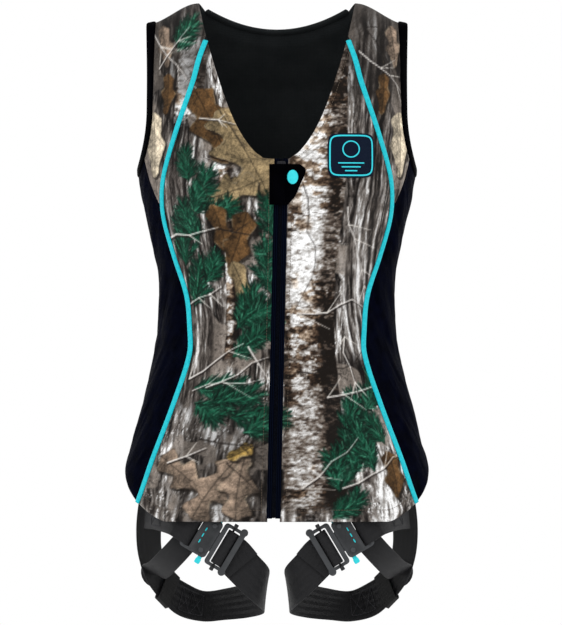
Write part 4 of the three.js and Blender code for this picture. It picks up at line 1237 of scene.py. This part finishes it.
def from_zip(phi, z, sign):
    """How far a place is from its panel's zip or neckline edge, near enough."""
    return half_width(z) * (np.sin(phi) - np.sin(front_inner(sign, 0)(z)))


def yoke_inner(z):
    seam = np.where(z > -22, 0, piping_x(z) + SEAM_TUCK)
    return angle_at(np.maximum(np.where(z > -40, neckline_x(z), 0), seam), z)


def yokes(art):
    r = depths(0, 221, 1.3)
    for side, sign in SIDES:
        phi, z = edged(r, on_row(yoke_inner)(r), on_row(yoke_phi)(r), 46)
        gap = from_edge(at(phi, z))
        ease = smooth(r[:, None] / 30)
        high = seam_rise(gap, 0.6, 4) + puckers(phi, z, gap, 301 + sign, 0.25) * ease
        camo_panel(f"yoke_panel_{side}", phi * sign, z, high, art, f"shoulder_yoke_{side}")


def side_lattice(cols, rows):
    """Places round the side from the front piping to the back piping, for the wearer's left."""
    low = piping_phi(YOKE_POINT - 1, SEAM_TUCK)
    share = np.linspace(0, 1, 12)
    slant_phi = lerp(low, armhole_phi(YOKE_CORNER - 1), share)
    slant_z = lerp(YOKE_POINT, YOKE_CORNER, share)
    under = EDGE[1] < YOKE_CORNER - 2
    half_phi = np.concatenate([slant_phi, EDGE[0][under]])
    half_z = np.concatenate([slant_z, EDGE[1][under]])
    top_phi = np.concatenate([half_phi, 180 * DEG - half_phi[-2::-1]])
    top_z = np.concatenate([half_z, half_z[-2::-1]])
    share = np.linspace(0, 1, cols)
    spot = (top_phi - low) / (180 * DEG - 2 * low)
    top_z = np.interp(share, spot, top_z)
    hem_phi = piping_edge(SEAM_TUCK)(np.array([HEM_DEPTH * 1.0]))[0]
    hem_z = row_z(hem_phi, HEM_DEPTH)
    v = np.linspace(0, 1, rows)[:, None]
    first = piping_phi(lerp(YOKE_POINT - 1, hem_z, v), SEAM_TUCK)
    phi = first + (180 * DEG - 2 * first) * share[None, :]
    low_z = row_z(hem_phi + (180 * DEG - 2 * hem_phi) * share, HEM_DEPTH)
    return phi, lerp(top_z[None, :], low_z[None, :], v)


def side_panels():
    for side, sign in SIDES:
        phi, z = side_lattice(96, 210)
        gap = from_edge(at(phi, z))
        u = phi * PRINT_RADIUS
        fold = fbm((u + 0.7 * z) / 24, (z - 0.4 * u) / 70, 401 + sign, 3) - 0.5
        vee = np.cos((z - BELT_Z - 0.35 * np.abs(u - 235)) / 19) * bell(z - BELT_Z, 62)
        calm = smooth(gap / 16)
        high = 0.2 + calm * (4.2 * fold + 0.85 * vee - 0.6) + puckers(phi, z, gap, 421 + sign, 0.4) * 0.6
        piece = shell(f"stretch_side_{side}", phi * sign, z, high, high - CLOTH_THICK)
        finish_piece(piece, "vest", STRETCH, "stretch_fabric", f"side_panel_{side}")


def back_neck(x):
    return ridge(x) - np.where(x < NECK_X, BACK_NECK_DIP * (1 - (np.minimum(x, NECK_X) / NECK_X) ** 2), 0)


def back_top(x):
    return back_neck(x) - BACK_BAND * smooth((NECK_X - x) / 10) * 0.75


def back_panel(art):
    r = depths(0, HEM_DEPTH, 1.96)
    edge = on_row(seam_phi)(r)
    phi, z = edged(r, 180 * DEG - edge, 180 * DEG + edge, 158, back_top)
    gap = from_edge(at(phi, z))
    high = seam_rise(gap, 0.8, 5) + puckers(phi, z, gap, 501) * smooth(r[:, None] / 30)
    camo_panel("back_panel", phi, z, high, art, "back_shell", back=True)


def lining_edge(z):
    return np.where(z > UNDERARM - BINDING_CLEAR + 1, armhole_phi(z), 88.5 * DEG)


def lining_offset(phi, z):
    gap = from_edge(at(phi, z))
    drape = 1.2 * (fbm(phi * PRINT_RADIUS / 40, z / 55, 611, 3) - 0.5)
    return lerp(-1.9, -6.6, smooth(gap / 16)) + drape * smooth(gap / 20)


def lining(name, phi, z, sign, node):
    high = lining_offset(phi, z)
    piece = shell(name, phi * sign, z, high, high - LINING_THICK)
    finish_piece(piece, "vest", LINING_MESH, "mesh_lining", node)


def linings():
    r = depths(0, LINING_HEM, 3.2)
    for side, sign in SIDES:
        phi, z = edged(r, on_row(front_inner(sign, 1.2))(r), on_row(lining_edge)(r), 44)
        lining(f"mesh_lining_{side}", phi, z, sign, f"front_lining_{side}")
    edge = on_row(lining_edge)(r)
    phi, z = edged(r, 180 * DEG - edge, 180 * DEG + edge, 110, back_top)
    lining("mesh_lining_back", phi, z, 1, "back_lining")


def pipings():
    section = round_section(3.3, -1.2, 2.3, 2.3)
    for side, sign in SIDES:
        for where, start in (("front", 41), ("back", 231)):
            r = depths(start, HEM_DEPTH, 4)
            phi = piping_edge(0)(r)
            z = row_z(phi, r)
            turned = phi if where == "front" else 180 * DEG - phi
            piece = band(f"{where}_piping_cord_{side}", sign * turned, z, section, 2.0)
            finish_piece(piece, "vest", PIPING, "piping", f"{where}_piping_{side}")


def bindings():
    section = round_section(6.2, -4.4, 1.9, 3.4, 24)
    t = np.linspace(0, 1, 160)
    phi, z = armhole(t)
    for side, sign in SIDES:
        loop_phi = np.concatenate([phi, 180 * DEG - phi[-2::-1]])
        loop_z = np.concatenate([z, z[-2::-1]])
        piece = band(f"armhole_tape_{side}", sign * loop_phi, loop_z, section, 2.5, closed=True)
        finish_piece(piece, "vest", BINDING, "binding", f"armhole_binding_{side}")
    x = np.linspace(84, -84, 60)
    z = back_neck(np.abs(x)) - 2.6
    piece = band("neck_tape", 180 * DEG - angle_at(x, z), z, round_section(3.4, -4.4, 1.5, 2.6, 18), 2.5)
    finish_piece(piece, "vest", LINING_MESH, "binding", "neck_binding")


# ---------------------------------------------------------------- zip and guard flap
def zip_line(offset):
    z = np.linspace(ZIP_TOP, ZIP_BOTTOM, 150)
    return angle_at(zip_x(z) + offset, z), z


def zip_parts():
    ribs = np.linspace(-3.4, 3.4, 25)
    top = np.stack([ribs, 0.15 + 0.28 * np.cos(ribs * 2 * math.pi / 2.2)], 1)
    tape = np.concatenate([top, [[3.4, -1.0], [-3.4, -1.0]]])
    for side, sign in SIDES:
        piece = band(f"zip_ribbon_{side}", *zip_line(sign * 5.4), tape, 2.5)
        finish_piece(piece, "vest", ZIP_TAPE, "zip_tape", f"zip_tape_{side}")
        piece = coil(f"zip_teeth_{side}", sign)
        finish_piece(piece, "vest", ZIP_COIL, "zip_coil", f"zip_coil_{side}")


def coil(name, sign, pitch=1.6, corners=6, per_turn=10):
    """One side of the zip's coil: a filament wound in flattened turns."""
    turns = int((ZIP_TOP - ZIP_BOTTOM) / pitch)
    t = np.linspace(0, turns, turns * per_turn + 1)
    z = ZIP_TOP - t * pitch
    turn_at = 2 * math.pi * t + (math.pi if sign > 0 else 0)
    x = zip_x(z) + sign * (1.0 + 1.5 * np.cos(turn_at))
    phi = angle_at(x, z)
    line = at(phi, z) + normal(phi, z) * (-0.5 + 0.75 * np.sin(turn_at))[:, None]
    along = unit(np.gradient(line, axis=0))
    side = unit(np.cross(along, [0, 0, 1.0]))
    up = np.cross(side, along)
    turn = circle(corners)
    wheel = side[:, None] * np.cos(turn)[None, :, None] + up[:, None] * np.sin(turn)[None, :, None]
    return tube(name, line[:, None] + 0.42 * wheel)


FLAP_TOP = -174.6
FLAP_LOW = -223
STUD_X = 18.6
STUD_Z = -190
flap_offset = through([
    (-9.5, 1.2), (-6.5, 3), (-4, 7.6), (3, 8.6), (8, 8.2), (11.5, 2.7), (14, 2.4), (34, 2.3),
])
flap_right = through([(-223, 13), (-212, 22), (-199, 27.6), (-187, 33), (-180, 33.6), (-174.6, 27)])


def flap_place(x, z, lift):
    return np.stack(np.broadcast_arrays(x, -FRONT_DEPTH - flap_offset(x) - lift, z), -1)


def guard_flap():
    z = np.linspace(FLAP_TOP, FLAP_LOW, 70)[:, None]
    x = -9 + (flap_right(z) + 9) * np.linspace(0, 1, 60)[None, :]
    z = np.broadcast_to(z, x.shape)
    gap = from_edge(flap_place(x, z, 0))
    rolled = roll(gap, 1.4)
    groove = 0.4 * bell(gap - 3.2, 0.9)
    soft = 0.5 * (fbm(x / 14, z / 14, 701, 3) - 0.5) * smooth(gap / 4)
    outer = flap_place(x, z, 0.75 * rolled + 0.1 - groove + soft)
    piece = two_faced("guard_flap_cloth", outer, flap_place(x, z, -0.7 * rolled), x, z)
    finish_piece(piece, "guard_flap", BINDING, "stretch_fabric", "guard_flap")


def turned_on_y(name, profile, x, z, squash=1.0, count=40):
    """A round piece facing forwards, from pairs of (radius, how far it stands ahead of the centre front)."""
    turn = circle(count)
    rings = np.stack([
        np.stack([x + r * squash * np.cos(turn), np.full(count, -FRONT_DEPTH - h), z + r * np.sin(turn)], -1)
        for r, h in profile
    ])
    return tube(name, rings)


def snap():
    dome = [(7.0, 3.5), (8.3, 3.6), (8.5, 4.1), (8.4, 4.6), (7.6, 4.95), (6.6, 5.05), (6.2, 4.95), (5.6, 5.1),
            (4.4, 5.35), (2.8, 5.5), (1.2, 5.58), (0.2, 5.6)]
    piece = turned_on_y("snap_cap_dome", dome, STUD_X, STUD_Z, 0.78)
    finish_piece(piece, "guard_flap", SNAP, "snap_cap", "snap_cap")


# ---------------------------------------------------------------- badge and back anchor
BADGE_X, BADGE_Z = 87.5, -164.5
BADGE_HALF_X, BADGE_HALF_Z = 27.5, 26.5


def badge():
    grid_u, grid_v = np.meshgrid(np.linspace(-1, 1, 44), np.linspace(1, -1, 44))
    # the square lattice is drawn in towards its corners, so that they come out rounded
    pull = 1 - 0.11 * (grid_u * grid_v) ** 4
    x = BADGE_X + BADGE_HALF_X * grid_u * pull
    z = BADGE_Z + BADGE_HALF_Z * grid_v * pull
    piece = shell("badge_cloth", angle_at(x, z), z, np.full(x.shape, 2.0), np.full(x.shape, 0.8))
    finish_piece(piece, "vest", BADGE, "embroidery", "chest_patch")
    thread_line("badge_border", badge_loop(24.6, 23.6, 6), 0.95, closed=True)
    thread_line("badge_ring", badge_loop(9.5, 9.5, 2, rise=7.5, count=40), 0.8, closed=True)
    for k, half in enumerate((15, 11, 7)):
        z = BADGE_Z - 9 - 4.6 * k
        thread_line(f"badge_bar_{k + 1}", np.array([(BADGE_X - half, z), (BADGE_X + half, z)]), 0.8)


def badge_loop(half_x, half_z, power, rise=0.0, count=80):
    """A closed line on the badge: a circle at power 2, and squarer at higher ones."""
    turn = circle(count)
    x = BADGE_X + half_x * squared(np.cos(turn), power)
    z = BADGE_Z + rise + half_z * squared(np.sin(turn), power)
    return np.stack([x, z], 1)


def thread_line(name, line, half, closed=False):
    """A raised line of satin stitch on the badge."""
    section = round_section(half, 1.6, 2.9, 2.0, 10)
    piece = band(name, angle_at(line[:, 0], line[:, 1]), line[:, 1], section, 0.9, closed)
    finish_piece(piece, "vest", TEAL_THREAD, "embroidery")


ANCHOR_Y = 101.5
ANCHOR_HALF = 32
ANCHOR_TOP = -84
ANCHOR_LOW = -176


def anchor_patch():
    u, v = np.meshgrid(np.linspace(-1, 1, 60), np.linspace(1, -1, 80))
    pull = 1 - 0.05 * (u * v) ** 6
    x = ANCHOR_HALF * u * pull
    z = (ANCHOR_TOP + ANCHOR_LOW) / 2 + (ANCHOR_TOP - ANCHOR_LOW) / 2 * v * pull
    gap = from_edge(np.stack([x, 0 * x, z], -1))
    groove = 0.5 * bell(gap - 5, 1.2)
    outer = np.stack([x, ANCHOR_Y + 1.7 + 1.7 * roll(gap) - groove, z], -1)
    cloth = at(180 * DEG - angle_at(x, z), z)[..., 1] + 0.9
    inner = np.stack([x, np.minimum(cloth, ANCHOR_Y + 0.6), z], -1)
    piece = two_faced("dorsal_patch_webbing", outer, inner, x, z)
    finish_piece(piece, "vest", WEB, "webbing", "dorsal_anchor_patch")
    x0, x1, z0, z1 = -26, 26, -170, -138
    y = ANCHOR_Y + 3.6
    a, b, c, d = (x0, y, z0), (x1, y, z0), (x1, y, z1), (x0, y, z1)
    lines = [np.array(route, float) for route in ((a, b, c, d, a), (a, c), (d, b))]
    piece = level_stitches("dorsal_patch_stitches", lines, BACKWARD, 3.0, 2.3, 0.4)
    finish_piece(piece, "vest", DARK_THREAD, "webbing")


LOOP_TOP = -76
LOOP_LENGTH = 58
LOOP_THICK = 2.0
LOOP_OPEN = 5.0  # between its two layers
LOOP_Y = ANCHOR_Y + 4.1  # its layer nearest the back starts here


def tether_loop():
    """Webbing doubled back on itself, hanging from the top of the patch."""
    near = LOOP_Y + LOOP_THICK / 2
    radius = (LOOP_OPEN + LOOP_THICK) / 2
    low = LOOP_TOP - LOOP_LENGTH + radius + LOOP_THICK / 2
    turn = np.linspace(0, math.pi, 20)
    inner = np.stack([np.full(14, near), np.linspace(LOOP_TOP - 1, low, 14)], 1)
    bend = np.stack([near + radius - radius * np.cos(turn), low - radius * np.sin(turn)], 1)
    outer = np.stack([np.full(14, near + 2 * radius), np.linspace(low, LOOP_TOP - 1, 14)], 1)
    line = np.concatenate([inner, bend[1:-1], outer])
    along = unit(np.gradient(line, axis=0))
    face = np.stack([-along[:, 1], along[:, 0]], 1)
    section = flat_section(WEBBING, LOOP_THICK, 13)
    a, b = section[:, 0][None, :], section[:, 1][None, :]
    y, z = line[:, :1] + face[:, :1] * b, line[:, 1:] + face[:, 1:] * b
    rings = np.stack(np.broadcast_arrays(a, y, z), -1)
    run = np.cumsum(np.linalg.norm(np.diff(line, axis=0, prepend=line[:1]), axis=-1))
    facts = np.stack(np.broadcast_arrays(a, run[:, None], 0.0), -1)
    piece = tube("tether_loop_webbing", rings, False, facts)
    finish_piece(piece, "tether_loop", WEB, "webbing", "dorsal_tether_loop")
    y = LOOP_Y + 2 * LOOP_THICK + LOOP_OPEN + 0.15
    lines = [np.array([(-18, y, z), (18, y, z)], float) for z in (LOOP_TOP - 4.5, LOOP_TOP - 12.5)]
    piece = level_stitches("tether_loop_stitches", lines, BACKWARD, 2.8, 2.1, 0.38)
    finish_piece(piece, "tether_loop", DARK_THREAD, "webbing")


# ---------------------------------------------------------------- harness inside the vest
STRAP_SPREAD = 37
STRAP_LOW = 326
CHEST_WIDTH = 25
CHEST_INNER, CHEST_OUTER = 22, 100  # where each chest strap ends, from the centre
strap_front = through([(0, 126), (25, 124), (100, 101), (200, 84), (STRAP_LOW, 78)])
strap_back = through([(0, 126), (25, 124), (100, 99), (200, 66), (STRAP_LOW, 52)])


def shoulder_straps():
    r = depths(0, STRAP_LOW, 4)
    for side, sign in SIDES:
        share = np.linspace(-0.5, 0.5, 12)[None, :]
        front = angle_at(strap_front(r)[:, None] + share * STRAP_SPREAD, -r[:, None])
        behind = angle_at(strap_back(r)[:, None] + share * STRAP_SPREAD, -r[:, None])
        phi = np.concatenate([180 * DEG - behind[::-1], front])
        z = np.concatenate([row_z(behind, r[:, None])[::-1], row_z(front, r[:, None])])
        high = np.full(phi.shape, -3.0)
        piece = shell(f"shoulder_webbing_{side}", sign * phi, z, high, high - WEB_THICK)
        finish_piece(piece, "vest", WEB, "webbing", f"shoulder_strap_{side}")


def waist_belt():
    phi = np.linspace(11, 349, 120) * DEG
    section = flat_section(WEBBING, WEB_THICK, 13) + np.array([0, -3.9])
    piece = band("waist_webbing", phi, np.full(phi.shape, float(BELT_Z)), section, 4.0)
    finish_piece(piece, "vest", WEB, "webbing", "waist_belt")


def chest_straps():
    section = flat_section(CHEST_WIDTH, WEB_THICK, 9) + np.array([0, -12.3])
    for side, sign in SIDES:
        phi = sign * np.linspace(angle_at(CHEST_OUTER, CHEST_Z), angle_at(CHEST_INNER, CHEST_Z), 40)
        piece = band(f"chest_webbing_{side}", phi, np.full(40, float(CHEST_Z)), section, 2.5)
        body = "vest" if side == "right" else None
        finish_piece(piece, body, WEB, "webbing", f"chest_strap_{side}")
        if side == "left":
            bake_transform(piece)
    for node, body in (("chest_buckle_socket", "vest"), ("chest_buckle_plug", "chest_plug")):
        softened(node, f"{node}_moulding", body, PLASTIC, "buckle_plastic", 1.4, 3)


def softened(node, name, body, look, slot_name, width, segments=2):
    """A CAD piece's own shape with its sharp edges rounded."""
    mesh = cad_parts[node].data.copy()
    shape = bmesh.new()
    shape.from_mesh(mesh)
    bmesh.ops.remove_doubles(shape, verts=shape.verts, dist=0.02 * MM)
    bmesh.ops.dissolve_limit(shape, angle_limit=2 * DEG, verts=shape.verts, edges=shape.edges)
    sharp = [e for e in shape.edges if e.is_manifold and e.calc_face_angle(0) > 35 * DEG]
    bevel = {"offset": width * MM, "segments": segments, "profile": 0.6, "clamp_overlap": True}
    bmesh.ops.bevel(shape, geom=sharp, affect="EDGES", **bevel)
    bmesh.ops.triangulate(shape, faces=[f for f in shape.faces if len(f.verts) > 4])
    shape.to_mesh(mesh)
    shape.free()
    mesh.shade_smooth()
    mesh.set_sharp_from_angle(angle=42 * DEG)
    mesh.name = name
    return finish_piece(linked(name, mesh), body, look, slot_name, node)


# ---------------------------------------------------------------- leg loops, for the wearer's right leg
BUCKLE_X, BUCKLE_Y, BUCKLE_Z = -74.4, -79, -624
TILT = 30.6 * DEG  # how far the buckle's axis drops towards the inside of the leg
AXIS = np.array([math.cos(TILT), 0, -math.sin(TILT)])
ACROSS = np.array([math.sin(TILT), 0, math.cos(TILT)])
CROSS_WIDTH = 40.5
DIAGONAL_WIDTH = 30


def on_buckle(u, v, w):
    """A station on the buckle: along it, across it and outward from it, with the width direction across."""
    return (*(np.array([BUCKLE_X, BUCKLE_Y - w, BUCKLE_Z]) + AXIS * u + ACROSS * v), *ACROSS)


THIGH_STATIONS = (
    on_buckle(34, -6, -6.8),
    (-34, -70, -661, 0.66, 0.05, 0.73),
    (-17, -44, -680, 0.3, 0.15, 0.94),
    (-15, -6, -690, 0.05, 0.25, 0.97),
    (-34, 26, -697, 0, 0.4, 0.91),
    (-60, 42, -702, 0, 0.55, 0.83),
    (-88, 48, -705, 0.08, 0.6, 0.8),
    (-111, 43, -698, 0.36, 0.55, 0.75),
    (-130, 30, -684, 0.45, 0.76, 0.47),
    (-146, 18, -662, 0.55, 0.8, 0.22),
    (-153, 12, -636, 0.62, 0.78, 0.05),
    (-154, 10, -605, 0.65, 0.76, 0),
    (-148, 8, -540, 0.45, 0.89, 0),
    (-136, 6, -460, 0.15, 0.99, 0),
    (-125, 4, -388, 0, 1, 0),
)
KEEPER_AT = 8.1
CROSS_STATIONS = (
    (-157, -14, -590, 0.1, 0, 0.99),
    (-141, -48, -591, 0.2, 0, 0.98),
    on_buckle(-52, 0, -1),
    on_buckle(-44, 0, 3.6),
    on_buckle(-37, 0, 6.6),
    on_buckle(-31, 0, 6.9),
    on_buckle(-26.7, 0, 4.4),
    on_buckle(-25, 0, 0.6),
    on_buckle(-24.9, 0, -3),
)
DIAGONAL_STATIONS = (
    (-96, -71, -608, 0.74, 0, -0.67),
    (-104, -70, -618, 0.74, 0, -0.67),
    (-118, -65, -634, 0.74, 0, -0.67),
    (-131, -49, -648, 0.74, 0, -0.67),
    (-142, -25, -659, 0.74, 0.1, -0.66),
    (-149, -2, -662, 0.72, 0.4, -0.5),
)
STRAP_END_STATIONS = (
    on_buckle(8.9, -0.3, -0.2),
    on_buckle(8.5, -0.3, 4),
    on_buckle(10.1, -0.3, 7.7),
    on_buckle(14.1, -0.4, 9.3),
    on_buckle(18.1, -0.5, 7.5),
    on_buckle(19.8, -0.6, 3.4),
    on_buckle(20.5, -0.8, -0.2),
    on_buckle(24.1, -1.4, -2.7),
    on_buckle(31, -2.9, -3.2),
    on_buckle(44, -7.6, -3.2),
)


def buckle_point(u, v, w, sign):
    point = np.array(on_buckle(u, v, w)[:3])
    point[0] *= -sign
    return tuple(point * MM)


def leg_loop(side, sign):
    male = f"male_half_{side}"
    thigh = webbing(f"thigh_webbing_{side}", THIGH_STATIONS, WEBBING, sign, None, f"thigh_loop_strap_{side}")
    start, end = buckle_point(34, 0, 0, sign), buckle_point(90, 0, 0, sign)
    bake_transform(thigh)
    webbing(f"hip_webbing_{side}", CROSS_STATIONS, CROSS_WIDTH, sign, "vest", f"hip_cross_strap_{side}", 1.6)
    route = (*DIAGONAL_STATIONS, tucked(8.75, 2.6), tucked(8.4, 2.2), tucked(KEEPER_AT, 2.1))
    webbing(f"diagonal_webbing_{side}", route, DIAGONAL_WIDTH, sign, "vest", f"diagonal_strap_{side}")
    webbing(f"tail_webbing_{side}", STRAP_END_STATIONS, WEBBING, sign, male, f"strap_end_{side}", 0.8)
    box_stitching(f"hip_stitches_{side}", CROSS_STATIONS, (-143, -46, -591), 26, 30, 1, sign)
    box_stitching(f"thigh_stitches_{side}", THIGH_STATIONS, (-104, 46, -702), 15, 30, 2, sign)
    keeper(side, sign)
    buckle(side, sign)


def box_stitching(name, stations, near, long, wide, count, sign):
    """Crossed boxes of stitches on a strap's outward face, near a place."""
    point, side, face, run = routed(stations, 1.0)
    up = face * np.where(face[:, 1:2] > 0, -1, 1)
    middle = run[np.linalg.norm(point - np.array(near), axis=1).argmin()]
    share = np.linspace(0, 1, 12)
    lines, ups = [], []
    for k in range(count):
        s0 = middle + long * (k - count / 2)
        corners = ((s0, -wide / 2), (s0 + long, -wide / 2), (s0 + long, wide / 2), (s0, wide / 2))
        for start, end in ((0, 1), (1, 2), (2, 3), (3, 0), (0, 2), (1, 3)):
            s, v = (lerp(corners[start][axis], corners[end][axis], share) for axis in (0, 1))
            out = sample(up, run, s)
            line = sample(point, run, s) + sample(side, run, s) * v[:, None] + out * (WEB_THICK / 2 + 0.15)
            lines.append(line * (-sign, 1, 1))
            ups.append(out * (-sign, 1, 1))
    piece = stitches(name, lines, ups, 3.0, 2.4, 0.34)
    finish_piece(piece, "vest", DARK_THREAD, "webbing")


def on_thigh(place):
    """The thigh strap's middle and directions at a place counted in its stations."""
    centre = centripetal(np.array(THIGH_STATIONS)[:, :3])
    lean = centripetal(np.array(THIGH_STATIONS)[:, 3:])
    t = place / (len(THIGH_STATIONS) - 1) + np.array([-0.002, 0, 0.002])
    point = centre(t)
    along = unit(point[2] - point[0])
    width = unit(lean(t)[1])
    width = unit(width - along * (width @ along))
    return point[1], along, width, np.cross(along, width)


def tucked(place, lift):
    """A station of webbing lying on the thigh strap's outer face."""
    point, _, width, face = on_thigh(place)
    outward = face * (1 if face @ (-1.0, -1.0, 0.0) > 0 else -1)
    return (*(point + outward * lift), *width)


def keeper(side, sign):
    """An elastic sleeve round the thigh webbing, with turned ends."""
    middle, along, width, face = on_thigh(KEEPER_AT)
    wheel = round_section(WEBBING / 2 + 3.1, -4.0, 4.0, 6.0, 48)
    runs = np.array([-10, -9.7, -9, -7.6, -4, 0, 4, 7.6, 9, 9.7, 10])
    full = np.array([0.955, 0.985, 1, 0.99, 0.975, 0.97, 0.975, 0.99, 1, 0.985, 0.955])
    hollow = (9.4, 0, -9.4)
    outer = [
        middle + along * s + width * wheel[:, :1] * (0.99 + 0.01 * k) + face * wheel[:, 1:] * k
        for s, k in zip(runs, full)
    ]
    inner = [middle + along * s + width * wheel[:, :1] * 0.965 + face * wheel[:, 1:] * 0.62 for s in hollow]
    rings = np.array(outer + inner)
    rings[..., 0] *= -sign
    span = np.cumsum(np.linalg.norm(np.diff(wheel, axis=0, prepend=wheel[:1]), axis=-1))
    place = np.array([*runs, *hollow])
    facts = np.stack(np.broadcast_arrays(span[None, :], place[:, None], 0.0), -1)
    piece = tube(f"keeper_elastic_{side}", rings, True, facts)
    finish_piece(piece, "vest", ELASTIC, "elastic", f"thigh_keeper_{side}")


def buckle(side, sign):
    for node, name, body, look, width in (
        ("buckle_body", "buckle_frame", "vest", HARDWARE, 0.7),
        ("buckle_cover", "buckle_plate", "vest", HARDWARE, 0.35),
        ("male_buckle", "male_frame", f"male_half_{side}", HARDWARE, 0.7),
        ("adjuster_bar", "adjuster_rod", f"adjuster_{side}", RIVET, 0.6),
    ):
        softened(f"{node}_{side}", f"{name}_{side}", body, look, "hardware", width)
    dashes = np.array([on_buckle(-16, v, 6.0)[:3] for v in (-12, 12)]) * (-sign, 1, 1)
    piece = level_stitches(f"cover_dashes_{side}", [dashes], FORWARD, 8.0, 5.2, 0.8)
    finish_piece(piece, "vest", LEVER, "hardware")
    for level in ("upper", "lower"):
        node = f"release_lever_{level}_{side}"
        softened(node, f"lever_tab_{level}_{side}", f"lever_{level}_{side}", LEVER, "release_lever", 0.6)


# ---------------------------------------------------------------- stitching
def vest_stitching():
    lines, ups = [], []

    def sew(phi, z, lift):
        points, out = on_vest(phi, z, lift)
        lines.append(points)
        ups.append(out)

    inward = SEAM_STITCH_IN / PRINT_RADIUS
    for _, sign in SIDES:
        z = np.linspace(ZIP_TOP - 2, ZIP_BOTTOM, 90)
        sew(sign * (zip_edge(z, sign, ZIP_CLEAR) + inward), z, 0.55)
        z = np.linspace(-40, ZIP_TOP, 50)
        sew(sign * (angle_at(neckline_x(z), z) + inward), z, 0.6)
        r = np.full(40, float(HEM_DEPTH - HEM_STITCH_IN))
        first = on_row(front_inner(sign, 2))(r)
        last = piping_edge(-SEAM_TUCK - 1)(r)
        phi = lerp(first, last, np.linspace(0, 1, 40))
        sew(sign * phi, row_z(phi, r), 0.45)
    piece = stitches("panel_stitches", lines, ups, 3.2, 2.3, 0.26)
    finish_piece(piece, "vest", BROWN_THREAD, "camo_fabric")


# ---------------------------------------------------------------- stage, light and camera
FLOOR_RADIUS = 1200
FLOOR_Z = -860
FLOOR_CORNERS = 64
LENS = 528
CAMERA_PLACE = (0.0048, -11.0, -0.351)  # far off, so that the vest is seen almost without perspective


def stage():
    """A pale floor below the vest; the world round it is white."""
    turn = circle(FLOOR_CORNERS)
    points = [(FLOOR_RADIUS * math.cos(t), FLOOR_RADIUS * math.sin(t), FLOOR_Z) for t in turn]
    floor = new_piece("studio_floor", points, [list(range(FLOOR_CORNERS))])
    look = Look("studio_white", Roughness=0.9)
    paper = look.noise(look.place(), 60, 2.0)
    look.colour(look.ramp(paper, ((0.3, (0.93, 0.93, 0.93)), (0.7, (0.95, 0.95, 0.95)))))
    floor.data.materials.append(look.made)


def lamp(name, place, aim, size, power):
    data = bpy.data.lights.new(name, "AREA")
    data.size, data.energy = size, power
    light = linked(name, data)
    light.location = place
    light.rotation_euler = (Vector(aim) - Vector(place)).to_track_quat("-Z", "Y").to_euler()


def studio():
    world = bpy.data.worlds.new("studio")
    world.use_nodes = True
    world.node_tree.nodes["Background"].inputs[0].default_value = (1, 1, 1, 1)
    world.node_tree.nodes["Background"].inputs[1].default_value = 1.0
    bpy.context.scene.world = world
    bpy.context.scene.view_settings.view_transform = "Standard"
    lamp("key", (-1.3, -2.4, 1.5), (0, 0, -0.3), 1.0, 16)
    lamp("fill", (1.9, -2.3, 0.2), (0, 0, -0.35), 1.6, 5)
    lamp("rim_right", (-1.6, 0.9, 0.4), (-0.1, 0, -0.4), 0.8, 4)
    lamp("rim_left", (1.6, 0.9, 0.4), (0.1, 0, -0.4), 0.8, 4)


def camera():
    data = bpy.data.cameras.new("camera")
    data.lens, data.sensor_width, data.sensor_height = LENS, 36, 36
    view = linked("camera", data)
    view.location = CAMERA_PLACE
    view.rotation_euler = (90 * DEG, 0, 0)
    bpy.context.scene.camera = view


# ---------------------------------------------------------------- the scene
camera()
studio()
stage()
woods = front_print()
front_panels(woods)
yokes(woods)
side_panels()
back_panel(back_print())
linings()
pipings()
bindings()
zip_parts()
guard_flap()
snap()
badge()
anchor_patch()
tether_loop()
shoulder_straps()
waist_belt()
chest_straps()
for leg_side, leg_sign in SIDES:
    leg_loop(leg_side, leg_sign)
vest_stitching()
softened("zip_slider", "slider_body", "zip_slider", ZIP_METAL, "zip_metal", 0.6, 3)
softened("zip_pull", "pull_tab", "zip_slider", ZIP_METAL, "zip_metal", 0.4)
softened("snap_stud", "stud_post", "vest", RIVET, "zip_metal", 0.25)
